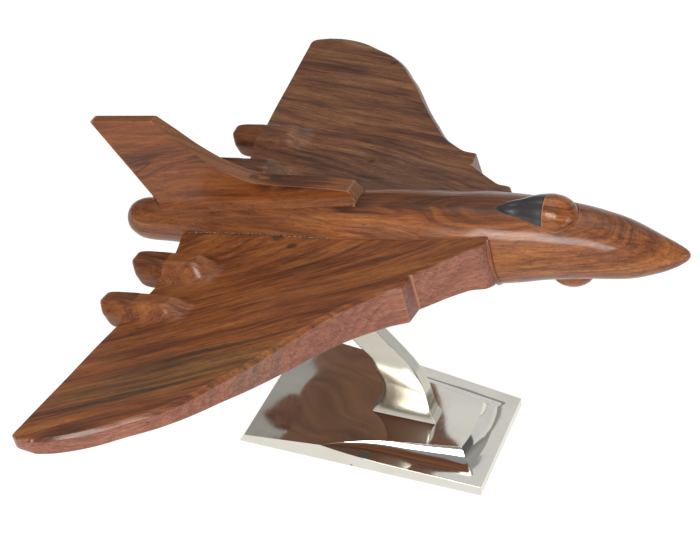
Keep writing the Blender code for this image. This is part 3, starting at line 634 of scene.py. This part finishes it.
def build_base():
    bm = bmesh.new()

    def patch(rows):
        made = [[bm.verts.new(p) for p in row] for row in rows]
        for a, b in zip(made, made[1:]):
            for i in range(len(a) - 1):
                bm.faces.new((a[i], a[i + 1], b[i + 1], b[i]))

    edge = smooth_curve(PLATEAU_EDGE)
    first, last = PLATEAU_EDGE[0][0], PLATEAU_EDGE[-1][0]
    inner = []
    for k in range(EDGE_STEPS + 1):
        x = first + (last - first) * k / EDGE_STEPS
        inner.append((x, float(edge(x)[0]), plateau_z(x)))
    outer = [rim_point(BEVEL_START_X + (RIM_FRONT[0] - BEVEL_START_X) * k / EDGE_STEPS)
             for k in range(EDGE_STEPS + 1)]
    outer[0] = inner[0]
    foot = [(BASE_HALF_LENGTH if k == EDGE_STEPS else p[0], base_half_width(p[0]), BASE_UNDERSIDE_Z)
            for k, p in enumerate(outer)]
    rear_top = (PLATEAU_REAR_X, PLATEAU_REAR_HALF_WIDTH, PLATEAU_REAR_Z)
    foot_rear = (-BASE_HALF_LENGTH, BASE_HALF_WIDTH_REAR, BASE_UNDERSIDE_Z)

    def mirrored(p, s):
        return (p[0], p[1] * s, p[2])

    for s in (-1, 1):
        patch([[mirrored(p, s) for p in scoop(a, b)] for a, b in zip(inner, outer)])
        patch([[mirrored(a, s), mirrored(b, s)] for a, b in zip(outer, foot)])
        patch([[mirrored(p, s) for p in pair] for pair in ((rear_top, foot_rear), (outer[0], foot[0]))])
    front_in, front_out, front_foot = [], [], []
    for k in range(FRONT_STEPS + 1):
        v = -1 + 2 * k / FRONT_STEPS
        x = inner[-1][0] + PLATEAU_FRONT_BULGE * (1 - v * v)
        front_in.append((x, inner[-1][1] * v, plateau_z(x)))
        front_out.append((RIM_FRONT[0], outer[-1][1] * v, RIM_FRONT[2]))
        front_foot.append((BASE_HALF_LENGTH, foot[-1][1] * v, BASE_UNDERSIDE_Z))
    patch([scoop(a, b) for a, b in zip(front_in, front_out)])
    patch([[a, b] for a, b in zip(front_out, front_foot)])
    patch([[mirrored(rear_top, -1), mirrored(foot_rear, -1)], [rear_top, foot_rear]])
    plateau = [mirrored(rear_top, -1)] + [mirrored(p, -1) for p in inner] + front_in[1:-1]
    plateau += inner[::-1] + [rear_top]
    underside = [mirrored(foot_rear, -1)] + [mirrored(p, -1) for p in foot] + front_foot[1:-1]
    underside += foot[::-1] + [foot_rear]
    for loop in (plateau, underside):
        bm.faces.new([bm.verts.new(p) for p in loop])
    bmesh.ops.remove_doubles(bm, verts=bm.verts, dist=0.005)
    bmesh.ops.dissolve_degenerate(bm, edges=bm.edges, dist=0.004)
    bmesh.ops.recalc_face_normals(bm, faces=bm.faces)
    arrises = [e for e in bm.edges if e.is_manifold and e.calc_face_angle() > SHARPEST_PLAIN_EDGE]
    bmesh.ops.bevel(bm, geom=arrises, offset=ARRIS_WIDTH, segments=3, affect="EDGES", clamp_overlap=True)
    bm.verts.index_update()
    points = [tuple(v.co) for v in bm.verts]
    faces = [tuple(v.index for v in f.verts) for f in bm.faces]
    bm.free()
    base = make_object("base_casting_shell", points, faces, "polished_aluminium", "stand", ROW, 30.0)
    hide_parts("base_casting")
    return base


def build_arm():
    rings = []
    foot_z = ARM_STATIONS[0][1]
    foot, rest = ARM_STATIONS[:ARM_FOOT_STATIONS], ARM_STATIONS[ARM_FOOT_STATIONS - 1:]
    rows = along_path(foot, ARM_FOOT_SPACING) + along_path(rest, ARM_SPACING)[1:]
    for front_x, front_z, rear_x, rear_z in rows:
        half = arm_half(front_z - foot_z)
        corners = [(front_x, -half, front_z), (front_x, half, front_z), (rear_x, half, rear_z),
                   (rear_x, -half, rear_z)]
        rings.append(round_corners(corners, [ARM_ARRIS] * 4, [6, 16, 6, 16]))
    arm = loft("pylon_arm_casting", rings, "polished_aluminium", "stand", ROW, 50.0)
    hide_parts("pylon_arm")
    head_place = AIRCRAFT @ Matrix.Translation((PIVOT_U * MM, 0, PIVOT_W * MM))
    head = turned("pylon_arm_head", HEAD_PROFILE, "polished_aluminium", "stand", head_place)
    washer = turned("swivel_washer_leather", WASHER_PROFILE, "leather", "stand", head_place)
    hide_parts("swivel_washer")
    return arm, head, washer


FELT_INSET, FELT_COLUMNS, FELT_ROWS = 4.0, 90, 60
FELT_EDGE_DROPS, FELT_NAP = (0.45, 0.12), 0.05


def build_felt():
    """A felt pad with a soft edge and a slightly uneven surface."""
    low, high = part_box("base_felt")
    top_z = high.z / MM
    columns, rows = FELT_COLUMNS, FELT_ROWS
    points, faces = [], []
    for layer in range(2):
        for i in range(columns + 1):
            x = (low.x + (high.x - low.x) * i / columns) / MM
            half = base_half_width(x) - FELT_INSET
            for j in range(rows + 1):
                v = -1 + 2 * j / rows
                rim = min(i, columns - i, j, rows - j)
                soft = FELT_EDGE_DROPS[rim] if rim < len(FELT_EDGE_DROPS) else 0.0
                nap = FELT_NAP * math.sin(2.3 * i + 1.7 * j) * math.sin(1.1 * j - 0.7 * i)
                points.append((x, half * v, top_z - soft if layer else soft + abs(nap)))
    size = (columns + 1) * (rows + 1)
    for layer in range(2):
        for i in range(columns):
            for j in range(rows):
                a = layer * size + i * (rows + 1) + j
                faces.append((a, a + 1, a + rows + 2, a + rows + 1))
    border = [(i, 0) for i in range(columns)] + [(columns, j) for j in range(rows)]
    border += [(i, rows) for i in range(columns, 0, -1)] + [(0, j) for j in range(rows, 0, -1)]
    for k in range(len(border)):
        a, b = border[k], border[(k + 1) % len(border)]
        p, q = a[0] * (rows + 1) + a[1], b[0] * (rows + 1) + b[1]
        faces.append((p, q, size + q, size + p))
    pad = make_object("base_felt_pad", points, faces, "felt", "stand", ROW, 60.0)
    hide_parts("base_felt")
    return pad


# ---- materials


def fill_ramp(node, stops):
    elements = node.color_ramp.elements
    while len(elements) < len(stops):
        elements.new(0.5)
    for element, (position, colour) in zip(elements, stops):
        element.position = position
        element.color = (*colour, 1.0)


class Surface:
    """A material with a Principled shader, and short calls to add nodes to it."""

    def __init__(self, name, **values):
        self.material = bpy.data.materials.new(name)
        self.material.use_nodes = True
        self.tree = self.material.node_tree
        self.shader = self.tree.nodes["Principled BSDF"]
        for socket, value in values.items():
            self.shader.inputs[socket.replace("_", " ")].default_value = value

    def node(self, kind, inputs=(), **settings):
        made = self.tree.nodes.new("ShaderNode" + kind)
        for key, value in settings.items():
            setattr(made, key, value)
        for key, value in dict(inputs).items():
            if isinstance(value, bpy.types.NodeSocket):
                self.tree.links.new(value, made.inputs[key])
            else:
                made.inputs[key].default_value = value
        return made

    def math(self, operation, *inputs):
        return self.node("Math", dict(enumerate(inputs)), operation=operation).outputs[0]

    def vector(self, operation, *inputs):
        return self.node("VectorMath", dict(enumerate(inputs)), operation=operation).outputs[0]

    def axes(self, vector):
        return self.node("SeparateXYZ", {0: vector}).outputs

    def length(self, vector):
        return self.node("VectorMath", {0: vector}, operation="LENGTH").outputs["Value"]

    def weighted(self, *terms):
        """The sum of values, each times its weight."""
        total, *others = [self.math("MULTIPLY", value, weight) for value, weight in terms]
        for term in others:
            total = self.math("ADD", total, term)
        return total

    def span(self, value, low, high, to_low=0.0, to_high=1.0):
        """The value taken from one range to another along an S curve."""
        made = self.node("MapRange", {"Value": value, "From Min": low, "From Max": high, "To Min": to_low,
                                      "To Max": to_high}, interpolation_type="SMOOTHSTEP")
        return made.outputs["Result"]

    def millimetres(self):
        """Where a point lies in the row frame, in millimetres."""
        return self.scaled(self.node("TexCoord").outputs["Object"], (1000.0, 1000.0, 1000.0))

    def scaled(self, vector, factors):
        return self.vector("MULTIPLY", vector, factors)

    def noise(self, vector, scale=1.0, detail=2.0, roughness=0.5, distortion=0.0):
        return self.node("TexNoise", {"Vector": vector, "Scale": scale, "Detail": detail,
                                      "Roughness": roughness, "Distortion": distortion})

    def ramp(self, value, stops):
        made = self.node("ValToRGB", {"Fac": value})
        fill_ramp(made, stops)
        return made.outputs["Color"]

    def mix(self, factor, a, b, blend="MIX"):
        inputs = {k: (*v, 1.0) if isinstance(v, tuple) else v for k, v in ((0, factor), (6, a), (7, b))}
        return self.node("Mix", inputs, data_type="RGBA", blend_type=blend).outputs[2]

    def bump(self, height, strength, distance):
        made = self.node("Bump", {"Height": height, "Strength": strength, "Distance": distance})
        self.tree.links.new(made.outputs["Normal"], self.shader.inputs["Normal"])
        return made

    def set(self, socket, output):
        self.tree.links.new(output, self.shader.inputs[socket])


def wood(name, turn=(0.0, 0.0, 0.0), pith=(0.0, -60.0), ring=3.2, warmth=(1.0, 1.0, 1.0), painted_upright_tone=None,
         painted_top_tone=None, veins=1.0, arris_highlight_strength=0.6, spots=(), patches=()):
    """Lacquered rosewood: growth rings round a pith line that lies along the turned x axis.

    The upright tone and the top tone are painted light: a paler, pinker colour on faces standing upright and
    a lighter ochre one on faces turned up, for the light those faces catch. Spots are knots as (u, y, w,
    size). Patches tint the wood softly round a place, as (place, (length along the grain, width, depth),
    tint)."""
    s = Surface(name, Roughness=0.42, Coat_Weight=0.42, Coat_Roughness=0.17, Coat_IOR=1.5,
                Specular_IOR_Level=0.15)
    at = s.node("TexCoord").outputs
    place = s.node("Mapping", {"Vector": at["Object"], "Location": AIRCRAFT.translation,
                               "Rotation": AIRCRAFT.to_euler()}, vector_type="TEXTURE").outputs[0]
    millimetres = s.scaled(place, (1000.0, 1000.0, 1000.0))
    along = s.node("Mapping", {"Vector": millimetres, "Rotation": turn}, vector_type="POINT").outputs[0]

    def wandering(vector, factors, reach, detail):
        drift = s.noise(s.scaled(along, factors), detail=detail).outputs["Color"]
        drift = s.vector("ADD", drift, (-0.5, -0.5, -0.5))
        return s.vector("MULTIPLY_ADD", drift, (0.0, reach, reach), vector)

    moved = wandering(along, (0.0065, 0.015, 0.015), 17.0, 1.0)
    moved = wandering(moved, (0.022, 0.08, 0.08), 2.6, 1.0)
    axes = s.axes(moved)
    across = s.math("SUBTRACT", axes[1], pith[0])
    up = s.math("SUBTRACT", axes[2], pith[1])
    radius = s.math("SQRT", s.math("ADD", s.math("MULTIPLY", across, across), s.math("MULTIPLY", up, up)))
    rings = s.math("DIVIDE", radius, ring)
    lengthwise = s.math("MULTIPLY", axes[0], 0.006)

    def banded(spread, stretch, seed, detail):
        where = s.node("CombineXYZ", {0: s.math("MULTIPLY", rings, spread),
                                      1: s.math("MULTIPLY", lengthwise, stretch), 2: seed}).outputs[0]
        return s.noise(where, detail=detail, roughness=0.55).outputs["Fac"]

    broad = banded(0.36, 1.0, 1.3, 1.0)
    fine = banded(1.15, 1.7, 3.7, 3.0)
    lines = banded(0.8, 1.2, 8.9, 1.0)
    cloud = s.noise(s.scaled(moved, (0.009, 0.03, 0.03)), detail=2.0).outputs["Fac"]
    fibre = s.noise(s.scaled(moved, (0.05, 1.1, 1.1)), detail=3.0, roughness=0.65).outputs["Fac"]
    pores = s.noise(s.scaled(moved, (0.20, 1.35, 1.35)), detail=2.0).outputs["Fac"]
    streaks = s.noise(s.scaled(moved, (0.013, 0.17, 0.17)), detail=2.0, roughness=0.6).outputs["Fac"]
    threads = s.noise(s.scaled(moved, (0.012, 0.40, 0.40)), detail=2.0, roughness=0.6).outputs["Fac"]
    tone = s.weighted((broad, 0.23), (fine, 0.22), (streaks, 0.21), (threads, 0.20), (cloud, 0.14))
    colour = s.ramp(tone, TONES)
    vein = s.span(s.math("ABSOLUTE", s.math("SUBTRACT", lines, 0.44)), 0.045, 0.0)
    vein = s.math("MULTIPLY", vein, s.span(cloud, 0.58, 0.42, 0.10 * veins, 0.50 * veins))
    colour = s.mix(vein, colour, STREAK)
    facing = s.axes(at["Normal"])[2]
    # Painted light: upright faces get a paler, pinker tone for the light they catch, except on the nacelle
    # ridges.
    if painted_upright_tone:
        upright = s.span(s.math("ABSOLUTE", facing), 0.66, 0.30)
        along_u, aside_y, _ = s.axes(millimetres)
        on_ridges = s.math("MULTIPLY", s.span(along_u, *RIDGES_END_U),
                           s.span(s.math("ABSOLUTE", aside_y), *RIDGES_END_Y))
        upright = s.math("MULTIPLY", upright, s.math("SUBTRACT", 1.0, on_ridges))
        pale = s.mix(s.span(fine, 0.56, 0.38, 0.0, 0.30), painted_upright_tone, EDGE_LINE)
        pale = s.mix(s.span(threads, 0.56, 0.40, 0.0, 0.40), pale, EDGE_LINE)
        colour = s.mix(s.math("MULTIPLY", upright, 0.85), colour, pale)
    # Painted light: faces turned up get a lighter ochre tone, for the light falling on them from above.
    if painted_top_tone:
        ochre = s.mix(s.span(fine, 0.56, 0.40, 0.0, 0.55), painted_top_tone, EDGE_LINE)
        colour = s.mix(s.span(facing, 0.35, 0.62, 0.0, 0.8), colour, ochre)
    for middle, size, tint in patches:
        centre = Matrix.Identity(3)
        for angle, axis in zip(turn, "XYZ"):
            centre = Matrix.Rotation(angle, 3, axis) @ centre
        middle = tuple(centre @ Vector(middle))
        reach = s.length(s.vector("DIVIDE", s.vector("SUBTRACT", moved, middle), size))
        reach = s.math("ADD", reach, s.math("MULTIPLY", s.math("SUBTRACT", fine, 0.5), 1.8))
        colour = s.mix(s.span(reach, 1.2, 0.4), colour, s.mix(1.0, colour, tint, "MULTIPLY"))
    fibres = s.span(fibre, 0.28, 0.72, 0.80, 1.20)
    channels = {k: s.math("MULTIPLY", fibres, warmth[k]) for k in range(3)}
    shade = s.node("CombineColor", channels).outputs[0]
    colour = s.mix(1.0, colour, shade, "MULTIPLY")
    pore = s.span(pores, 0.57, 0.70, 0.0, 0.62)
    colour = s.mix(pore, colour, PORE)
    for u, y, w, size in spots:
        offset = s.vector("SUBTRACT", millimetres, (u, y, w))
        reach = s.length(s.scaled(offset, (0.6 / size, 1.0 / size, 0.6 / size)))
        reach = s.math("ADD", reach, s.math("MULTIPLY", s.math("SUBTRACT", fibre, 0.5), 0.8))
        colour = s.mix(s.span(reach, 1.3, 0.5, 0.0, 0.72), colour, KNOT)
    # Painted highlight: a pale line on sharp edges and thin beads, found by pointiness, for the light that
    # rounded lacquered edges catch.
    arris_highlight = s.span(s.node("NewGeometry").outputs["Pointiness"], 0.518, 0.56, 0.0, arris_highlight_strength)
    colour = s.mix(arris_highlight, colour, ARRIS_HIGHLIGHT)
    s.set("Base Color", colour)
    s.set("Roughness", s.span(fibre, 0.2, 0.8, 0.50, 0.36))
    s.bump(s.weighted((fibre, 0.5), (pore, -0.6)), 0.22, 0.0002)
    return s.material


STREAK = (0.040, 0.013, 0.006)
PORE = (0.042, 0.014, 0.006)
KNOT = (0.026, 0.012, 0.008)
# The colour of the painted highlight on sharp edges and beads.
ARRIS_HIGHLIGHT = (0.42, 0.21, 0.11)
EDGE_LINE = (0.12, 0.036, 0.020)
# Where the wings' nacelle ridges end, forward and outward: they keep the colour of the wing's top, without
# the painted light of upright faces.
RIDGES_END_U, RIDGES_END_Y = (132.0, 124.0), (152.0, 142.0)
TONES = [(0.40, (0.074, 0.022, 0.007)), (0.455, (0.122, 0.036, 0.011)), (0.50, (0.176, 0.052, 0.014)),
         (0.555, (0.225, 0.072, 0.018)), (0.62, (0.28, 0.098, 0.026))]


def root_filler(name):
    """Crumbled pale and black filler."""
    s = Surface(name, Roughness=0.7)
    millimetres = s.millimetres()
    crumbs = s.noise(s.scaled(millimetres, (0.55, 1.0, 1.0)), detail=3.0, roughness=0.7).outputs["Fac"]
    s.set("Base Color", s.ramp(crumbs, [(0.40, (0.012, 0.009, 0.007)), (0.50, (0.10, 0.045, 0.022)),
                                        (0.62, (0.27, 0.20, 0.13))]))
    s.set("Roughness", s.span(crumbs, 0.3, 0.7, 0.6, 0.85))
    s.bump(crumbs, 0.6, 0.0004)
    return s.material


def polished_metal(name, shade=(0.74, 0.71, 0.65), wave_scale=0.017, wave_height=2.0,
                   polish=(0.05, 0.10)):
    """Mirror-polished casting: slow waves left by hand polishing, faint hairlines and a few tiny pits."""
    s = Surface(name, Metallic=1.0, Roughness=0.05)
    millimetres = s.millimetres()
    waves = s.noise(millimetres, scale=wave_scale, detail=1.0, roughness=0.35).outputs["Fac"]
    hairs = s.noise(s.scaled(millimetres, (0.9, 0.12, 0.9)), scale=1.0, detail=2.0).outputs["Fac"]
    pits = s.noise(millimetres, scale=0.33, detail=0.0).outputs["Fac"]
    pit = s.span(pits, 0.86, 0.88)
    blotches = s.noise(millimetres, scale=0.03, detail=3.0).outputs["Fac"]
    dull = tuple(c * k for c, k in zip(shade, (0.93, 0.92, 0.90)))
    tint = s.ramp(blotches, [(0.35, dull), (0.65, shade)])
    s.set("Base Color", s.mix(pit, tint, (0.30, 0.27, 0.24)))
    s.set("Roughness", s.span(hairs, 0.2, 0.8, *polish))
    s.bump(s.weighted((waves, wave_height), (hairs, 0.002), (pit, -0.02)), 1.0, 0.001)
    return s.material


def leather(name):
    s = Surface(name, Roughness=0.6)
    cells = s.node("TexVoronoi", {"Vector": s.millimetres(), "Scale": 1.6}).outputs["Distance"]
    s.set("Base Color", s.ramp(cells, [(0.0, (0.04, 0.022, 0.014)), (0.6, (0.12, 0.068, 0.042))]))
    s.set("Roughness", s.span(cells, 0.0, 0.6, 0.75, 0.5))
    s.bump(cells, 0.5, 0.0002)
    return s.material


def grained(name, stretch, stops, roughness, relief, detail=2.0, fineness=0.5, distortion=0.0, **values):
    """A material whose colour, roughness and relief (strength, distance) all follow one stretched noise."""
    s = Surface(name, **values)
    grain = s.noise(s.scaled(s.millimetres(), stretch), detail=detail, roughness=fineness,
                    distortion=distortion).outputs["Fac"]
    s.set("Base Color", s.ramp(grain, stops))
    s.set("Roughness", s.span(grain, 0.2, 0.8, *roughness))
    s.bump(grain, *relief)
    return s.material


def dress(material, *objects):
    for obj in objects:
        obj.data.materials.clear()
        obj.data.materials.append(material)


# ---- the object

fuselage = build_fuselage()
left_wing, right_wing = build_wing("left_wing", 1), build_wing("right_wing", -1)
nacelles = [build_nacelle(word, side, place, *axis) for side, word in ((1, "left"), (-1, "right"))
            for place, axis in NACELLE_AXES.items()]
fin = build_fin()
canopy_rear, canopy_dome, canopy_lip = build_canopy()
blister = build_blister()
seams = build_seams(1, "left") + build_seams(-1, "right")
base = build_base()
arm, arm_head, washer = build_arm()
felt_pad = build_felt()

RIGHT_GRAIN, LEFT_GRAIN = math.radians(-25.0), math.radians(18.0)
OLIVE, BLACKENED, SAPWOOD = (0.84, 1.18, 1.3), (0.50, 0.60, 0.80), (1.7, 2.3, 2.6)
fillers = [piece for piece in seams if "filler" in piece.name]
carved_seams = [piece for piece in seams if "filler" not in piece.name]
dress(wood("fuselage_rosewood", pith=(40.0, -110.0), ring=2.6, warmth=(1.24, 1.31, 1.38),
           spots=[(150.8, -2.2, 24.0, 4.2)],
           # The first patch is painted shade: it darkens the fuselage's top along its whole length.
           patches=[((200.0, 0.0, 42.0), (420.0, 26.0, 18.0), (0.60, 0.56, 0.52)),
                    ((80.0, 0.0, 10.0), (175.0, 70.0, 70.0), (0.62, 0.58, 0.55))]),
      fuselage, blister)
# The seams and the canopy lip get only a faint painted edge highlight.
dress(wood("seam_rosewood", pith=(40.0, -110.0), ring=2.6, warmth=(0.95, 0.92, 0.92), arris_highlight_strength=0.12),
      canopy_lip, *carved_seams)
dress(root_filler("crumbled_filler"), *fillers)
dress(wood("dome_rosewood", pith=(4.0, 70.0), ring=2.0, warmth=(1.45, 1.5, 1.4)), canopy_dome)
dress(grained("black_stained_wood", (0.06, 0.7, 0.7),
              [(0.3, (0.008, 0.007, 0.009)), (0.75, (0.030, 0.024, 0.024))], (0.42, 0.3), (0.25, 0.0002),
              detail=3.0, Roughness=0.35, Coat_Weight=0.5, Coat_Roughness=0.12), canopy_rear)
dress(wood("right_wing_rosewood", turn=(0.0, 0.0, RIGHT_GRAIN), pith=(-30.0, -90.0), ring=3.2,
           warmth=(1.03, 1.05, 1.15), painted_upright_tone=(0.27, 0.104, 0.062),
           spots=[(150.2, -26.6, 8.8, 4.0), (166.0, -35.6, 7.9, 3.2)],
           patches=[((140.0, -200.0, 14.0), (95.0, 24.0, 60.0), OLIVE),
                    ((105.0, -232.0, 14.0), (60.0, 5.0, 60.0), BLACKENED),
                    ((165.0, -165.0, 14.0), (60.0, 4.0, 60.0), BLACKENED)]), right_wing)
dress(wood("left_wing_rosewood", turn=(0.0, 0.0, LEFT_GRAIN), pith=(60.0, -80.0), ring=3.0,
           warmth=(0.90, 1.18, 1.9), painted_upright_tone=(0.22, 0.08, 0.05),
           spots=[(151.9, 225.9, 17.5, 2.0), (185.7, 82.6, 10.3, 2.4)],
           patches=[((108.0, 262.0, 15.0), (34.0, 7.0, 60.0), SAPWOOD),
                    # The last patch is painted shade: the wing's top darker and bluer near its root beside
                    # the fuselage.
                    ((215.0, 55.0, 10.0), (95.0, 42.0, 60.0), (0.66, 0.72, 0.9))], veins=0.6), left_wing)
dress(wood("nacelle_rosewood", turn=(0.0, 0.15, 0.1), pith=(10.0, -50.0), ring=2.6, warmth=(0.76, 0.74, 0.76),
           spots=[(67.7, -132.7, 8.0, 2.2)]), *nacelles)
dress(wood("fin_rosewood", turn=(0.0, 0.14, 0.0), pith=(-120.0, 20.0), ring=2.8, warmth=(0.92, 0.85, 0.78),
           painted_top_tone=(0.22, 0.092, 0.030), veins=1.5,
           spots=[(126.0, 0.0, 45.0, 3.0), (144.0, 2.4, 45.0, 3.6)],
           patches=[((165.0, 0.0, 47.0), (46.0, 20.0, 7.0), (0.45, 0.36, 0.36))]), fin)
dress(polished_metal("polished_aluminium_surface"), base)
# Painted shade: the arm's aluminium is the base's made darker and yellower, to dim the light it reflects.
dress(polished_metal("polished_aluminium_arm_painted_darker", (0.58, 0.555, 0.48), 0.03, 0.6, (0.13, 0.18)),
      arm, arm_head)
dress(leather("brown_leather"), washer)
dress(grained("green_felt", (1.8, 1.8, 1.8), [(0.3, (0.008, 0.035, 0.022)), (0.7, (0.03, 0.10, 0.065))],
              (0.98, 0.88), (0.6, 0.0003), detail=4.0, fineness=0.7, distortion=2.0, Roughness=0.95,
              Sheen_Weight=0.4, Sheen_Roughness=0.5), felt_pad)
steel = grained("zinc_plated_steel", (0.4, 0.4, 6.0), [(0.3, (0.42, 0.43, 0.45)), (0.7, (0.62, 0.63, 0.65))],
                (0.22, 0.40), (0.2, 0.0001), Metallic=1.0, Roughness=0.3)
brass = grained("turned_brass", (0.3, 0.3, 5.0), [(0.3, (0.55, 0.37, 0.12)), (0.7, (0.78, 0.58, 0.25))],
                (0.2, 0.38), (0.2, 0.0001), Metallic=1.0, Roughness=0.28)
peg = grained("plain_dowel_wood", (1.6, 0.08, 1.6), [(0.3, (0.42, 0.28, 0.15)), (0.7, (0.68, 0.50, 0.31))],
              (0.5, 0.7), (0.3, 0.0001), detail=3.0, Roughness=0.6)
for node_name, node in frame["nodes"].items():
    if not node.hide_render:
        dress(peg if "dowel" in node_name else brass if node_name == "pivot_insert" else steel, node)

# ---- floor, light and camera

FLOOR_HALF = 6000.0
floor_corners = [(x * FLOOR_HALF, y * FLOOR_HALF, 0.0) for x, y in ((-1, -1), (1, -1), (1, 1), (-1, 1))]
floor = make_object("studio_floor", floor_corners, [(0, 1, 2, 3)], None, None, ROW)
paper = Surface("white_paper", Roughness=0.9, Base_Color=(0.10, 0.10, 0.10, 1.0), Specular_IOR_Level=0.0,
                Emission_Color=(1.0, 0.995, 0.98, 1.0), Emission_Strength=0.97)
dress(paper.material, floor)

world = bpy.data.worlds.new("studio")
bpy.context.scene.world = world
world.use_nodes = True
sky = world.node_tree
direction = sky.nodes.new("ShaderNodeTexCoord")
height_of = sky.nodes.new("ShaderNodeSeparateXYZ")
shade = sky.nodes.new("ShaderNodeValToRGB")
# Radiance of the room by height, from level to straight up.
SKY_STEPS = [(0.0, (0.12, 0.12, 0.13)), (0.33, (0.13, 0.135, 0.145)), (0.62, (0.41, 0.41, 0.40)),
             (0.95, (0.30, 0.32, 0.37))]
fill_ramp(shade, SKY_STEPS)
sky.links.new(direction.outputs["Generated"], height_of.inputs[0])
sky.links.new(height_of.outputs[2], shade.inputs["Fac"])
sky.links.new(shade.outputs["Color"], sky.nodes["Background"].inputs["Color"])
sky.nodes["Background"].inputs["Strength"].default_value = 1.0

AIM = Vector((0.02, 0.0, 0.17))


def softbox(name, towards, distance, size, radiance, colour=(1.0, 1.0, 1.0)):
    """A square area light in a direction from the model, as bright as its radiance says."""
    data = bpy.data.lights.new(name, "AREA")
    data.shape = "RECTANGLE"
    data.size, data.size_y = size
    data.energy = radiance * math.pi * size[0] * size[1]
    data.color = colour
    light = bpy.data.objects.new(name, data)
    bpy.context.scene.collection.objects.link(light)
    away = Vector(towards).normalized()
    light.location = AIM + away * distance
    light.rotation_euler = away.to_track_quat("Z", "Y").to_euler()
    light.visible_camera = False
    return light


softbox("key_softbox", (-0.12, -0.79, 0.62), 1.7, (1.1, 0.55), 13.0)
softbox("front_fill", (-0.05, -0.97, 0.16), 1.9, (1.8, 0.7), 1.05)
softbox("nose_softbox", (0.92, -0.36, 0.30), 1.6, (0.6, 0.6), 5.0)
softbox("top_softbox", (-0.2, 0.25, 1.0), 1.8, (1.3, 1.3), 1.4)
softbox("high_back_panel", (0.02, 0.74, 0.66), 1.7, (1.5, 0.5), 0.42)
softbox("backdrop_panel", (0.25, 0.94, 0.19), 1.75, (2.8, 0.95), 0.66, (0.96, 0.98, 1.0))

# Where the photo was taken from.
CAMERA_AZIMUTH, CAMERA_TILT = math.radians(21.41), math.radians(50.79)
CAMERA_AT, FOCAL_MM, SENSOR_MM = (0.3356, -0.9359, 0.9690), 85.4, 36.0
lens = bpy.data.cameras.new("photo_camera")
lens.lens = FOCAL_MM
lens.sensor_width = SENSOR_MM
camera = bpy.data.objects.new("photo_camera", lens)
bpy.context.scene.collection.objects.link(camera)
camera.location = CAMERA_AT
camera.rotation_euler = (CAMERA_TILT, 0.0, CAMERA_AZIMUTH)
bpy.context.scene.camera = camera
bpy.context.scene.view_settings.view_transform = "Standard"
